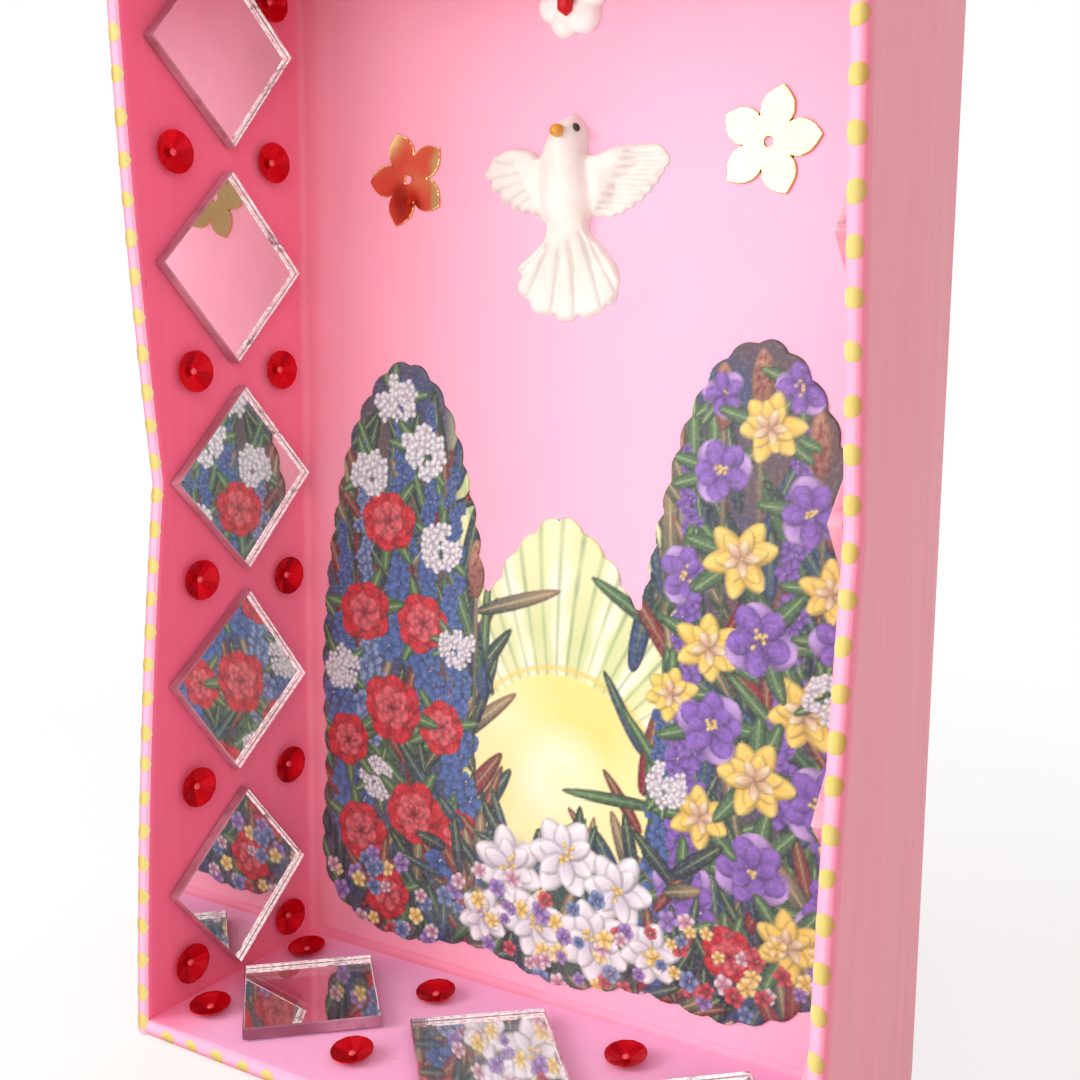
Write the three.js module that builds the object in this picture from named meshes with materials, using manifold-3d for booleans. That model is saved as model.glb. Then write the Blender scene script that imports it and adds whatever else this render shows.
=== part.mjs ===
// Devotional shadow box, open at the front: a pink painted board case with a
// pinched waist, lined with glued mirror tiles and cup sequins, and with a
// cast dove, two foil flowers, a small white flower and a pasted paper
// cut-out on its back panel.
// Millimetres. +X is right and +Z is up as seen from the front; the open
// front faces -Y. The origin is the middle of the box's footprint.

import * as THREE from 'three';
import { mergeVertices } from 'three/addons/utils/BufferGeometryUtils.js';
import Module from 'manifold-3d';

// Case
const BOARD = 4;                // thickness of the sides, top and floor
const BACK_PANEL = 4;           // thickness of the back panel
const INNER_WIDTH = 164;
const INNER_HEIGHT = 261;
const INNER_DEPTH = 61;         // back panel to front edge, at the top and floor
const WAIST_DEPTH = 51.2;       // the same at the waist, half way up
const FRONT_BULGE = 1.5;        // how far each half of a side's front edge bows out
const OUTER_CORNER = 3.4;       // radius of the case's corners, seen from the front
const REAR_CORNER = 12.5;       // radius of its rear corners, seen from the side
const EASED_EDGE = 1.6;         // rounding sanded on the boards' edges
const EASED_STEPS = 3;

// Glued-on pieces
const GLUE = 0.3;               // thickness of the glue line under each of them
const TILE = 33;                // side of a mirror tile, set on its corner
const TILE_THICKNESS = 3;
const TILE_ARRIS = 0.3;         // dulled edge of the cut glass
const TILE_GAP = 5;             // least space between the corners of two tiles
const WALL_ROW_MARGIN = 1;      // left free at each end of a side wall's row
const FLOOR_ROW_MARGIN = 2.5;   // the same across the floor and the top
const FLOOR_TILE_DEPTH = 32.5;  // back panel to the middle of a floor tile
// Lists of hand-placed turns and drifts start again where a row has more pieces.
const LEFT_TILE_TURNS = [-5, -6.7, 0.1, 0.9, 5.7];     // degrees, bottom to top
const RIGHT_TILE_TURNS = [3.2, -1.4, 2.6, -3.8, 1.1];
const FLOOR_TILE_TURNS = [-1.9, -4, -3];               // left to right
const TOP_TILE_TURNS = [2.1, -1.2, 0.8];
const FLOOR_TILE_DRIFT = [-1.5, -1.5, -1];             // along the row, by hand

const SEQUIN = 10;              // diameter of a cup sequin
const SEQUIN_CUP = 1.4;         // how high its rim stands over its middle
const SEQUIN_SHEET = 0.3;       // thickness of its sheet
const SEQUIN_FOOT = 3.2;        // diameter of the flat that is glued down
const PIN_HEAD = 2.2;           // diameter of the pin head in its middle
const PIN_RISE = 1.1;           // how high the pin head stands
const SEQUIN_SIDES = 12;
const END_ROW = 9.2;            // end rows of sequins, from the floor and the top
const REAR_COLUMN = 11;         // rear sequins, from the back panel
const FRONT_COLUMN = 13.3;      // front sequins, in from the front edge
const FLOOR_END_COLUMN = 8.5;   // outer floor sequins, in from the side walls
// Hand-placed drift of the left wall's sequins, bottom to top: [depth, height]
const LEFT_REAR_DRIFT = [
  [0.4, -0.7], [-0.7, -1.3], [-1.2, -1.2], [0.1, 1.3], [1.7, 1.5], [1.4, -2.9]];
const LEFT_FRONT_DRIFT = [[0, 0.6], [-1.5, 1.7], [0, 1.7], [0.3, 0.6], [0.6, -0.8], [0.5, -1.5]];
const RIGHT_REAR_DRIFT = [[1.1, 0.4], [0.2, 1.2], [-0.8, 0.3], [0.9, -0.9], [-0.4, 0.8], [0.6, -0.6]];
const RIGHT_FRONT_DRIFT = [[-0.6, 0.9], [0.8, -0.7], [0.3, 1.1], [-0.9, -0.2], [0.5, 1.3], [-0.3, -1]];
// The same for the floor's sequins, left to right: [depth, across]
const FLOOR_REAR_DRIFT = [[1.2, -0.1], [3.2, -1], [4.3, 0.3], [2.4, 0.6]];
const FLOOR_FRONT_DRIFT = [[1.2, 0.9], [-0.4, -1], [0.3, 0.4], [0.8, -0.5]];

// Cast dove. What hangs in the upper half is placed from the panel's middle line
// and down from the top board; the dove's forms are measured from its breast.
const DOVE_AT = { right: 0.5, down: 60.8 };
const DOVE_SHEET = 1.7;         // thickness of the wings and tail at their edges
const DOVE_ARRIS = 0.5;
// Head, right wing, tail and left wing, clockwise
const DOVE_OUTLINE = [
  [-1.8, 14.1], [1.5, 15.3], [3.2, 14.9], [4.4, 13], [4.3, 9.1], [4.6, 6.8], [8.6, 7.2], [13, 8.2],
  [17.8, 8], [21.6, 7.7], [23.4, 6.4], [23.9, 5.2], [24.6, 3.7], [22.9, 1.5], [22.3, -0.2], [20.6, -1.1],
  [19.3, -3.1], [17.1, -3.6], [16, -5.3], [14.2, -5.3], [12.6, -7.2], [9.9, -7.9], [7.7, -7.3], [5.2, -7.1],
  [4.7, -8.9], [5.3, -11], [8.6, -14.4], [11.3, -17.8], [12.7, -21.7], [11.9, -24], [12, -25.6],
  [10.5, -27.4], [8.8, -27.1], [7.6, -29], [4.3, -30], [2.2, -29.5], [0.8, -30.6], [-3.2, -30.5],
  [-4.7, -28.9], [-7, -29.5], [-10.6, -28.2], [-11.7, -25.6], [-14, -24.4], [-14.8, -22], [-13.6, -19.8],
  [-14.8, -18.6], [-13.8, -17.2], [-9.4, -13.7], [-6.3, -10], [-6.2, -8.6], [-8.8, -6.1], [-11.5, -5.5],
  [-13.2, -4.4], [-15.9, -4.8], [-16.8, -2.6], [-19.2, -2.3], [-19.7, 0], [-22.2, 0.6], [-22, 2.8],
  [-24.4, 4.2], [-22, 7.6], [-17.4, 9.6], [-11.6, 9], [-8.4, 7], [-6, 8.2], [-4.1, 10.7],
];
const BREAST = { from: [-0.9, -13], to: [-0.3, 10.5], width: 12.2, rise: 6.8 };
const NECK = { from: [-2.6, 2.5], to: [0.6, 14.8], width: 10, rise: 6.2 };
const CREST = { from: [0.5, 9.5], to: [2.8, 15.4], width: 4.2, rise: 4.2 };
const BEAK = { from: [0.4, 11.3], to: [-3.9, 11.5], width: 2.6, rise: 6.6 };
const RUMP = { from: [-0.5, -4], to: [-0.9, -22], width: 9.6, rise: 4.2 };
const LEFT_ARM = { from: [-2, 1.6], to: [-22.6, 6.6], width: 7.4, rise: 3.7 };
const LEFT_FLANK = { from: [-1, -1.4], to: [-17.5, 0.2], width: 9, rise: 3.4 };
const RIGHT_ARM = { from: [0, 3.6], to: [16.4, 5.4], width: 5.4, rise: 3.4 };
const RIGHT_FLANK = { from: [-1, -2.4], to: [13.4, -0.6], width: 10.6, rise: 3.2 };
const TAIL_TIPS = [[-13.6, -17.7], [-13.4, -23.2], [-8.4, -28.6], [-2, -30.2], [4.8, -29.2], [11, -25.4]];
const TAIL_ROOT = [-0.9, -7];
const LEFT_WING_TIPS = [[-20.8, 0.8], [-17.6, -2], [-14.2, -4.2]];
const LEFT_WING_ROOT = [-7, 2.2];
const RIGHT_WING_TIPS = [[22.6, 6.6], [23.8, 3.9], [21.8, 0.4], [18.4, -2.7], [14.8, -5], [11, -7]];
const RIGHT_WING_ROOTS = [[6, 5.6], [5, 3.8], [4, 1.4], [3, -1], [2, -3], [1, -4.6]];
const FEATHER_WIDTH = { tail: 6.6, left: 4.2, right: 3.4 };
const FEATHER_RISE = { tail: 3, left: 2.9, right: 2.7 };
const BODY_FACES = [16, 12];    // round an egg, and from end to end
const LIMB_FACES = [12, 8];
const FEATHER_FACES = [10, 7];

// Flowers on the back panel
const FOIL_SPAN = 23.7;         // across the petals of a foil flower, tip to tip
const FOIL_SHEET = 0.8;
const FOIL_HOLE = 2.1;
const FOIL_PETALS = 5;
const LEFT_FOIL_AT = { right: -47.1, down: 56.1 };
const RIGHT_FOIL_AT = { right: 47.5, down: 54.9 };
const LEFT_FOIL_TURN = 35;      // degrees, from +X to a petal's tip
const RIGHT_FOIL_TURN = 3;
const BLOOM_AT = { right: -0.6, down: 19.6 };  // white flower
const BLOOM_PETALS = 6;
const BLOOM_TURN = 10;
const PETAL_OUT = 4.9;          // the flower's middle to the middle of a petal
const PETAL_RADIUS = 3.8;
const BLOOM_RISE = 3.4;
const BLOOM_HUB = 11;           // disc that joins the petals
const BLOOM_HUB_RISE = 1.6;
const BEAD = [3.9, 8];          // red bead in the flower: width, height
const BEAD_RISE = 2.6;

// Paper cut-out: tall sheaves of flowers at the sides, a rising sun and a low
// bank. Its outline runs through these points, from the left wall and the floor,
// and is stretched to the case's width.
const PAPER = 0.3;
const PAPER_LIFT = 0.3;         // paste and the curl of the paper
const PAPER_SCALLOP = 1.1;      // depth of the scissor-cut scallops
const PAPER_SCALLOPS = 84;      // number of them, all round
const PAPER_FITS = 164;         // inner width that the outline is drawn for
const PAPER_OUTLINE = [
  [5, 22], [6, 50], [5.5, 80], [9, 112], [16, 140], [27, 157], [38, 158.5], [48, 146],
  [55, 122], [59, 103], [67, 114], [80, 123], [93, 114], [101, 103], [106, 124], [112, 146],
  [121, 161], [133, 164], [144, 152], [152, 128], [156, 98], [157, 68], [155, 40], [148, 19],
  [128, 8], [104, 9], [80, 5], [56, 9], [34, 5.5], [15, 9],
];

// Derived places
const OUTER_WIDTH = INNER_WIDTH + 2 * BOARD;
const OUTER_HEIGHT = INNER_HEIGHT + 2 * BOARD;
const OUTER_DEPTH = INNER_DEPTH + BACK_PANEL;
const REAR_Y = OUTER_DEPTH / 2;
const PANEL_Y = REAR_Y - BACK_PANEL;          // front face of the back panel
const FRONT_Y = -OUTER_DEPTH / 2;
const WAIST_Y = PANEL_Y - WAIST_DEPTH;
const INNER_X = INNER_WIDTH / 2;
const TILE_ROOM = TILE * Math.SQRT2 + TILE_GAP;
const WALL_ROW = INNER_HEIGHT - 2 * WALL_ROW_MARGIN;
const FLOOR_ROW = INNER_WIDTH - 2 * FLOOR_ROW_MARGIN;
const WALL_TILES = Math.floor(WALL_ROW / TILE_ROOM);
const FLOOR_TILES = Math.floor(FLOOR_ROW / TILE_ROOM);
const WALL_TILE_PITCH = WALL_ROW / WALL_TILES;
const FLOOR_TILE_PITCH = FLOOR_ROW / FLOOR_TILES;

const paint = {
  outside: finish(0xe08c97, 0.62),
  wall: finish(0xe9647f, 0.5),
  floor: finish(0xf58ac0, 0.5),
  panel: finish(0xffb9d2, 0.5),
};
const mirror = finish(0xdde3e6, 0.06, 1);
const sequinRed = finish(0xc4061c, 0.18);
const whiteResin = finish(0xfbf6ef, 0.35);
const goldFoil = finish(0xd9a866, 0.14, 1);
const beadRed = finish(0xd8101c, 0.25);
const printedPaper = finish(0xa86a7c, 0.55);

const wasm = await Module();
wasm.setup();

const box = new THREE.Group();

function finish(color, roughness, metalness = 0) {
  return new THREE.MeshStandardMaterial({ color, roughness, metalness });
}

// A closed solid from a geometry: shared corners merged, empty triangles dropped.
function solidOf(geometry) {
  const bare = geometry.index ? geometry.toNonIndexed() : geometry.clone();
  bare.deleteAttribute('normal');
  bare.deleteAttribute('uv');
  const welded = mergeVertices(bare, 1e-4);
  const corners = welded.index.array;
  const kept = [];
  for (let i = 0; i < corners.length; i += 3) {
    const [a, b, c] = [corners[i], corners[i + 1], corners[i + 2]];
    if (a !== b && b !== c && c !== a) kept.push(a, b, c);
  }
  return new wasm.Manifold(new wasm.Mesh({
    numProp: 3,
    vertProperties: new Float32Array(welded.attributes.position.array),
    triVerts: new Uint32Array(kept),
  }));
}

function geometryOf(solid) {
  const mesh = solid.getMesh();
  const geometry = new THREE.BufferGeometry();
  geometry.setAttribute('position', new THREE.BufferAttribute(mesh.vertProperties, 3));
  geometry.setIndex(new THREE.BufferAttribute(mesh.triVerts, 1));
  geometry.computeVertexNormals();
  return geometry;
}

function unite(geometries) {
  return geometries.map(solidOf).reduce((whole, piece) => whole.add(piece));
}

const points = (places) => places.map(([x, y]) => new THREE.Vector2(x, y));

function add(parent, name, geometry, material) {
  const mesh = new THREE.Mesh(geometry, material);
  mesh.name = name;
  parent.add(mesh);
  return mesh;
}

// How far the side boards reach in front of the back panel, at a height above
// the floor: two shallow bows that meet in a blunt notch at the waist.
function depthAt(height) {
  const halfHeight = OUTER_HEIGHT / 2;
  const t = Math.min(Math.abs(height - INNER_HEIGHT / 2) / halfHeight, 1);
  return WAIST_DEPTH + (INNER_DEPTH - WAIST_DEPTH) * t + 4 * FRONT_BULGE * t * (1 - t);
}

// Case

// Extrudes a (Y, Z) outline along X, from x to x + thickness.
function alongX(outline, x, thickness, edge = 0) {
  const geometry = new THREE.ExtrudeGeometry(outline, {
    depth: thickness - 2 * edge,
    bevelEnabled: edge > 0,
    bevelThickness: edge,
    bevelSize: edge,
    bevelOffset: -edge,
    bevelSegments: EASED_STEPS,
    curveSegments: 12,
  });
  geometry.translate(0, 0, edge);
  const yzx = new THREE.Matrix4().makeBasis(
    new THREE.Vector3(0, 1, 0), new THREE.Vector3(0, 0, 1), new THREE.Vector3(1, 0, 0));
  geometry.applyMatrix4(yzx);
  geometry.translate(x, 0, 0);
  return geometry;
}

function sideOutline() {
  const bowY = (FRONT_Y + WAIST_Y) / 2 - 2 * FRONT_BULGE;
  const outline = new THREE.Shape();
  outline.moveTo(FRONT_Y, 0);
  outline.lineTo(REAR_Y - REAR_CORNER, 0);
  outline.absarc(REAR_Y - REAR_CORNER, REAR_CORNER, REAR_CORNER, -Math.PI / 2, 0);
  outline.lineTo(REAR_Y, OUTER_HEIGHT - REAR_CORNER);
  outline.absarc(REAR_Y - REAR_CORNER, OUTER_HEIGHT - REAR_CORNER, REAR_CORNER, 0, Math.PI / 2);
  outline.lineTo(FRONT_Y, OUTER_HEIGHT);
  outline.quadraticCurveTo(bowY, OUTER_HEIGHT * 0.75, WAIST_Y, OUTER_HEIGHT / 2);
  outline.quadraticCurveTo(bowY, OUTER_HEIGHT * 0.25, FRONT_Y, 0);
  return outline;
}

// The case's rear corners, rounded off across all the boards.
function roundedRear() {
  const y = REAR_Y - REAR_CORNER;
  const outline = new THREE.Shape();
  outline.absarc(y, REAR_CORNER, REAR_CORNER, -Math.PI / 2, 0);
  outline.absarc(y, OUTER_HEIGHT - REAR_CORNER, REAR_CORNER, 0, Math.PI / 2);
  outline.lineTo(-OUTER_DEPTH, OUTER_HEIGHT);
  outline.lineTo(-OUTER_DEPTH, 0);
  return solidOf(alongX(outline, -OUTER_WIDTH, 2 * OUTER_WIDTH));
}

// The case's outline from the front, with its corners rounded off.
function cornerPrism() {
  const x = OUTER_WIDTH / 2;
  const r = OUTER_CORNER;
  const outline = new THREE.Shape();
  outline.absarc(x - r, r, r, -Math.PI / 2, 0);
  outline.absarc(x - r, OUTER_HEIGHT - r, r, 0, Math.PI / 2);
  outline.absarc(r - x, OUTER_HEIGHT - r, r, Math.PI / 2, Math.PI);
  outline.absarc(r - x, r, r, Math.PI, Math.PI * 1.5);
  const reach = 2 * OUTER_DEPTH;
  const prism = new THREE.ExtrudeGeometry(outline, { depth: reach, bevelEnabled: false, curveSegments: 6 });
  prism.rotateX(Math.PI / 2);
  prism.translate(0, reach / 2, 0);
  return prism;
}

function sideBoard(x) {
  const plain = solidOf(alongX(sideOutline(), x, BOARD, EASED_EDGE));
  return geometryOf(plain.intersect(solidOf(cornerPrism())));
}

// Top or floor board between the sides, with eased front edges.
function crossBoard(bottom) {
  const r = EASED_EDGE;
  const outline = new THREE.Shape();
  outline.absarc(FRONT_Y + r, bottom + BOARD - r, r, Math.PI / 2, Math.PI);
  outline.absarc(FRONT_Y + r, bottom + r, r, Math.PI, Math.PI * 1.5);
  outline.lineTo(REAR_Y, bottom);
  outline.lineTo(REAR_Y, bottom + BOARD);
  const plain = solidOf(alongX(outline, -INNER_X, INNER_WIDTH));
  return geometryOf(plain.intersect(roundedRear()));
}

function backPanel() {
  const panel = new THREE.BoxGeometry(INNER_WIDTH, BACK_PANEL, INNER_HEIGHT);
  panel.translate(0, PANEL_Y + BACK_PANEL / 2, BOARD + INNER_HEIGHT / 2);
  return geometryOf(solidOf(panel).intersect(roundedRear()));
}

add(box, 'left_side_board', sideBoard(-INNER_X - BOARD), paint.wall);
add(box, 'right_side_board', sideBoard(INNER_X), paint.outside);
add(box, 'top_board', crossBoard(BOARD + INNER_HEIGHT), paint.outside);
add(box, 'floor_board', crossBoard(0), paint.floor);
add(box, 'back_panel', backPanel(), paint.panel);

// A wall is a group whose own X and Y lie in the inner face and whose Z points
// into the box. at() turns a place on the wall into the group's X and Y.
function wall(x, z, right, up, at) {
  const group = new THREE.Group();
  const inward = new THREE.Vector3().crossVectors(right, up);
  group.position.set(x, PANEL_Y, z);
  group.quaternion.setFromRotationMatrix(new THREE.Matrix4().makeBasis(right, up, inward));
  box.add(group);
  return { group, at };
}

const axis = (x, y, z) => new THREE.Vector3(x, y, z);
const ceilingZ = BOARD + INNER_HEIGHT;
const walls = {
  left: wall(-INNER_X, BOARD, axis(0, 1, 0), axis(0, 0, 1), (depth, height) => [-depth, height]),
  right: wall(INNER_X, BOARD, axis(0, -1, 0), axis(0, 0, 1), (depth, height) => [depth, height]),
  floor: wall(-INNER_X, BOARD, axis(1, 0, 0), axis(0, 1, 0), (depth, across) => [across, -depth]),
  top: wall(-INNER_X, ceilingZ, axis(1, 0, 0), axis(0, -1, 0), (depth, across) => [across, depth]),
  back: wall(-INNER_X, BOARD, axis(1, 0, 0), axis(0, 0, 1), (across, height) => [across, height]),
};

// A place in the upper half of the back panel.
const hung = ({ right, down }) => [INNER_WIDTH / 2 + right, INNER_HEIGHT - down];

function glue(place, name, geometry, material, a, b, turn = 0) {
  const mesh = add(place.group, name, geometry, material);
  const [x, y] = place.at(a, b);
  mesh.position.set(x, y, GLUE);
  mesh.rotation.z = THREE.MathUtils.degToRad(turn);
}

// Mirror tiles

function mirrorTile() {
  const half = TILE / 2 - TILE_ARRIS;
  const outline = new THREE.Shape();
  outline.moveTo(-half, -half);
  outline.lineTo(half, -half);
  outline.lineTo(half, half);
  outline.lineTo(-half, half);
  const tile = new THREE.ExtrudeGeometry(outline, {
    depth: TILE_THICKNESS - 2 * TILE_ARRIS,
    bevelThickness: TILE_ARRIS,
    bevelSize: TILE_ARRIS,
    bevelSegments: 1,
  });
  tile.translate(0, 0, TILE_ARRIS);
  tile.rotateZ(Math.PI / 4);
  return tile;
}

const cycled = (list, i) => list[i % list.length];
const wallTileHeight = (i) => INNER_HEIGHT / 2 + (i - (WALL_TILES - 1) / 2) * WALL_TILE_PITCH;
const floorTileAcross = (i) =>
  INNER_WIDTH / 2 + (i - (FLOOR_TILES - 1) / 2) * FLOOR_TILE_PITCH + cycled(FLOOR_TILE_DRIFT, i);

for (let i = 0; i < WALL_TILES; i++) {
  const height = wallTileHeight(i);
  const depth = depthAt(height) / 2;
  glue(walls.left, `mirror_left_${i + 1}`, mirrorTile(), mirror,
    depth, height, cycled(LEFT_TILE_TURNS, i));
  glue(walls.right, `mirror_right_${i + 1}`, mirrorTile(), mirror,
    depth, height, cycled(RIGHT_TILE_TURNS, i));
}
for (let i = 0; i < FLOOR_TILES; i++) {
  const across = floorTileAcross(i);
  glue(walls.floor, `mirror_floor_${i + 1}`, mirrorTile(), mirror,
    FLOOR_TILE_DEPTH, across, cycled(FLOOR_TILE_TURNS, i));
  glue(walls.top, `mirror_top_${i + 1}`, mirrorTile(), mirror,
    FLOOR_TILE_DEPTH, across, cycled(TOP_TILE_TURNS, i));
}

// Sequins

// A cup of thin sheet with a flat foot, and the domed head of the pin in it.
function cupSequin() {
  const foot = SEQUIN_FOOT / 2;
  const rim = SEQUIN / 2;
  const head = PIN_HEAD / 2;
  const seat = SEQUIN_SHEET;
  const profile = points([
    [0, 0], [foot, 0], [rim, SEQUIN_CUP], [rim - SEQUIN_SHEET, SEQUIN_CUP + SEQUIN_SHEET / 2],
    [foot, seat], [head, seat], [head, seat + PIN_RISE * 0.4], [head * 0.6, seat + PIN_RISE * 0.85],
    [0, seat + PIN_RISE],
  ]);
  const sequin = new THREE.LatheGeometry(profile, SEQUIN_SIDES);
  sequin.rotateX(Math.PI / 2);
  return geometryOf(solidOf(sequin));
}

// Heights of the rows on a side wall: one at each end and one between tiles.
function wallRows() {
  const rows = [END_ROW];
  for (let i = 1; i < WALL_TILES; i++) rows.push((wallTileHeight(i - 1) + wallTileHeight(i)) / 2);
  return [...rows, INNER_HEIGHT - END_ROW];
}

function floorColumns() {
  const columns = [FLOOR_END_COLUMN];
  for (let i = 1; i < FLOOR_TILES; i++) columns.push((floorTileAcross(i - 1) + floorTileAcross(i)) / 2);
  return [...columns, INNER_WIDTH - FLOOR_END_COLUMN];
}

function wallSequins(side, rearDrift, frontDrift) {
  wallRows().forEach((height, i) => {
    const [rearDepth, rearRise] = cycled(rearDrift, i);
    const [frontDepth, frontRise] = cycled(frontDrift, i);
    const front = depthAt(height) - FRONT_COLUMN;
    const turn = 15 * i;
    glue(walls[side], `sequin_${side}_rear_${i + 1}`, cupSequin(), sequinRed,
      REAR_COLUMN + rearDepth, height + rearRise, turn);
    glue(walls[side], `sequin_${side}_front_${i + 1}`, cupSequin(), sequinRed,
      front + frontDepth, height + frontRise, turn);
  });
}

wallSequins('left', LEFT_REAR_DRIFT, LEFT_FRONT_DRIFT);
wallSequins('right', RIGHT_REAR_DRIFT, RIGHT_FRONT_DRIFT);
floorColumns().forEach((across, i) => {
  const [rearDepth, rearAcross] = cycled(FLOOR_REAR_DRIFT, i);
  const [frontDepth, frontAcross] = cycled(FLOOR_FRONT_DRIFT, i);
  glue(walls.floor, `sequin_floor_rear_${i + 1}`, cupSequin(), sequinRed,
    REAR_COLUMN + rearDepth, across + rearAcross);
  glue(walls.floor, `sequin_floor_front_${i + 1}`, cupSequin(), sequinRed,
    INNER_DEPTH - FRONT_COLUMN + frontDepth, across + frontAcross);
});

// Cast dove

// An egg that lies from one place to another, half sunk in the panel.
function lobe({ from, to, width, rise }, [sides, rings] = LIMB_FACES) {
  const [x, y] = [to[0] - from[0], to[1] - from[1]];
  const length = Math.hypot(x, y);
  const egg = new THREE.SphereGeometry(1, sides, rings);
  egg.rotateZ(Math.PI / 2);
  egg.scale(length / 2, width / 2, rise);
  egg.translate(length / 2, 0, 0);
  egg.rotateZ(Math.atan2(y, x));
  egg.translate(from[0], from[1], 0);
  return egg;
}

function feathers(kind, tips, rootOf) {
  const [width, rise] = [FEATHER_WIDTH[kind], FEATHER_RISE[kind]];
  return tips.map((tip, i) => lobe({ from: rootOf(i), to: tip, width, rise }, FEATHER_FACES));
}

// The outline of the whole bird as a thin sheet, under the lobes.
function doveSheet() {
  return new THREE.ExtrudeGeometry(new THREE.Shape(points(DOVE_OUTLINE)), {
    depth: DOVE_SHEET - DOVE_ARRIS,
    bevelThickness: DOVE_ARRIS,
    bevelSize: DOVE_ARRIS,
    bevelOffset: -DOVE_ARRIS,
    bevelSegments: 1,
  });
}

function dove() {
  return unite([
    doveSheet(),
    ...[BREAST, NECK].map((form) => lobe(form, BODY_FACES)),
    ...[CREST, BEAK, RUMP, LEFT_ARM, LEFT_FLANK, RIGHT_ARM, RIGHT_FLANK].map((form) => lobe(form)),
    ...feathers('tail', TAIL_TIPS, () => TAIL_ROOT),
    ...feathers('left', LEFT_WING_TIPS, () => LEFT_WING_ROOT),
    ...feathers('right', RIGHT_WING_TIPS, (i) => RIGHT_WING_ROOTS[i]),
  ]);
}

// The casting's flat back: everything behind it is cut away.
function flatBack(solid) {
  const below = new THREE.BoxGeometry(OUTER_WIDTH, OUTER_HEIGHT, OUTER_DEPTH);
  below.translate(0, 0, -OUTER_DEPTH / 2);
  return geometryOf(solid.subtract(solidOf(below)));
}

glue(walls.back, 'dove', flatBack(dove()), whiteResin, ...hung(DOVE_AT));

// Foil flowers

// Five petals with blunt points, cut from one sheet. Places on a petal are
// given as a share of the flower's radius and of the angle between petals.
function foilFlower() {
  const radius = FOIL_SPAN / 2;
  const outline = new THREE.Shape();
  const polar = (share, turns) => [
    radius * share * Math.cos(2 * Math.PI * turns), radius * share * Math.sin(2 * Math.PI * turns)];
  outline.moveTo(...polar(0.49, -0.5 / FOIL_PETALS));
  for (let i = 0; i < FOIL_PETALS; i++) {
    const at = (share, step) => polar(share, (i + step) / FOIL_PETALS);
    outline.quadraticCurveTo(...at(0.72, -0.47), ...at(0.81, -0.26));
    outline.quadraticCurveTo(...at(0.91, -0.14), ...at(1, 0));
    outline.quadraticCurveTo(...at(0.91, 0.14), ...at(0.81, 0.26));
    outline.quadraticCurveTo(...at(0.72, 0.47), ...at(0.49, 0.5));
  }
  const hole = new THREE.Path();
  hole.absarc(0, 0, FOIL_HOLE / 2, 0, 2 * Math.PI);
  outline.holes.push(hole);
  const flower = new THREE.ExtrudeGeometry(
    outline, { depth: FOIL_SHEET, bevelEnabled: false, curveSegments: 4 });
  return geometryOf(solidOf(flower));
}

glue(walls.back, 'foil_flower_left', foilFlower(), goldFoil, ...hung(LEFT_FOIL_AT), LEFT_FOIL_TURN);
glue(walls.back, 'foil_flower_right', foilFlower(), goldFoil, ...hung(RIGHT_FOIL_AT), RIGHT_FOIL_TURN);

// White flower with a red bead

function bloom() {
  const petals = Array.from({ length: BLOOM_PETALS }, (_, i) => {
    const angle = THREE.MathUtils.degToRad(BLOOM_TURN + 360 * i / BLOOM_PETALS);
    const petal = new THREE.SphereGeometry(1, 12, 10);
    petal.scale(PETAL_RADIUS, PETAL_RADIUS, BLOOM_RISE);
    petal.translate(PETAL_OUT * Math.cos(angle), PETAL_OUT * Math.sin(angle), 0);
    return petal;
  });
  const hub = new THREE.CylinderGeometry(BLOOM_HUB / 2, BLOOM_HUB / 2, BLOOM_HUB_RISE, 18);
  hub.rotateX(Math.PI / 2);
  hub.translate(0, 0, BLOOM_HUB_RISE / 2);
  const well = new THREE.CylinderGeometry(0.5, 0.5, BLOOM_RISE, 6);
  well.rotateX(Math.PI / 2);
  well.scale(BEAD[0] + 2 * GLUE, BEAD[1] + 2 * GLUE, 1);
  well.translate(0, 0, BLOOM_HUB_RISE + BLOOM_RISE / 2);
  return unite([...petals, hub]).subtract(solidOf(well));
}

// A six-sided faceted bead, longer than it is wide, with a flat back.
function bead() {
  const profile = points([[0, 0], [0.42, 0], [0.5, 0.35], [0.3, 0.85], [0, 1]]);
  const shape = new THREE.LatheGeometry(profile, 6);
  shape.rotateX(Math.PI / 2);
  shape.scale(BEAD[0], BEAD[1], BEAD_RISE);
  shape.translate(0, 0, BLOOM_HUB_RISE + GLUE);
  return geometryOf(solidOf(shape));
}

glue(walls.back, 'white_flower', flatBack(bloom()), whiteResin, ...hung(BLOOM_AT));
glue(walls.back, 'flower_bead', bead(), beadRed, ...hung(BLOOM_AT));

// Paper cut-out

// A smooth closed line through the outline's points, with an edge that runs in
// scissor-cut scallops.
function paperCutOut() {
  const stretch = INNER_WIDTH / PAPER_FITS;
  const places = PAPER_OUTLINE.map(([x, z]) => new THREE.Vector3(x * stretch, z, 0));
  const line = new THREE.CatmullRomCurve3(places, true, 'centripetal');
  const steps = PAPER_SCALLOPS * 4;
  const edge = Array.from({ length: steps }, (_, i) => {
    const place = line.getPointAt(i / steps);
    const along = line.getTangentAt(i / steps);
    const swell = PAPER_SCALLOP * (Math.abs(Math.sin(Math.PI * PAPER_SCALLOPS * i / steps)) - 0.5);
    return new THREE.Vector2(place.x - along.y * swell, place.y + along.x * swell);
  });
  const sheet = new THREE.ExtrudeGeometry(new THREE.Shape(edge), { depth: PAPER, bevelEnabled: false });
  return geometryOf(solidOf(sheet));
}

add(walls.back.group, 'paper_print', paperCutOut(), printedPaper).position.z = PAPER_LIFT;

export default box;
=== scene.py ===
"""Looks of a pink devotional shadow box: paint, mirror glass, sequins, foil,
cast resin and a printed paper cut-out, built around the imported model.

Metres, +Z up; the open front faces -Y. Sizes marked MM are millimetres.
"""

import math

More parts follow.
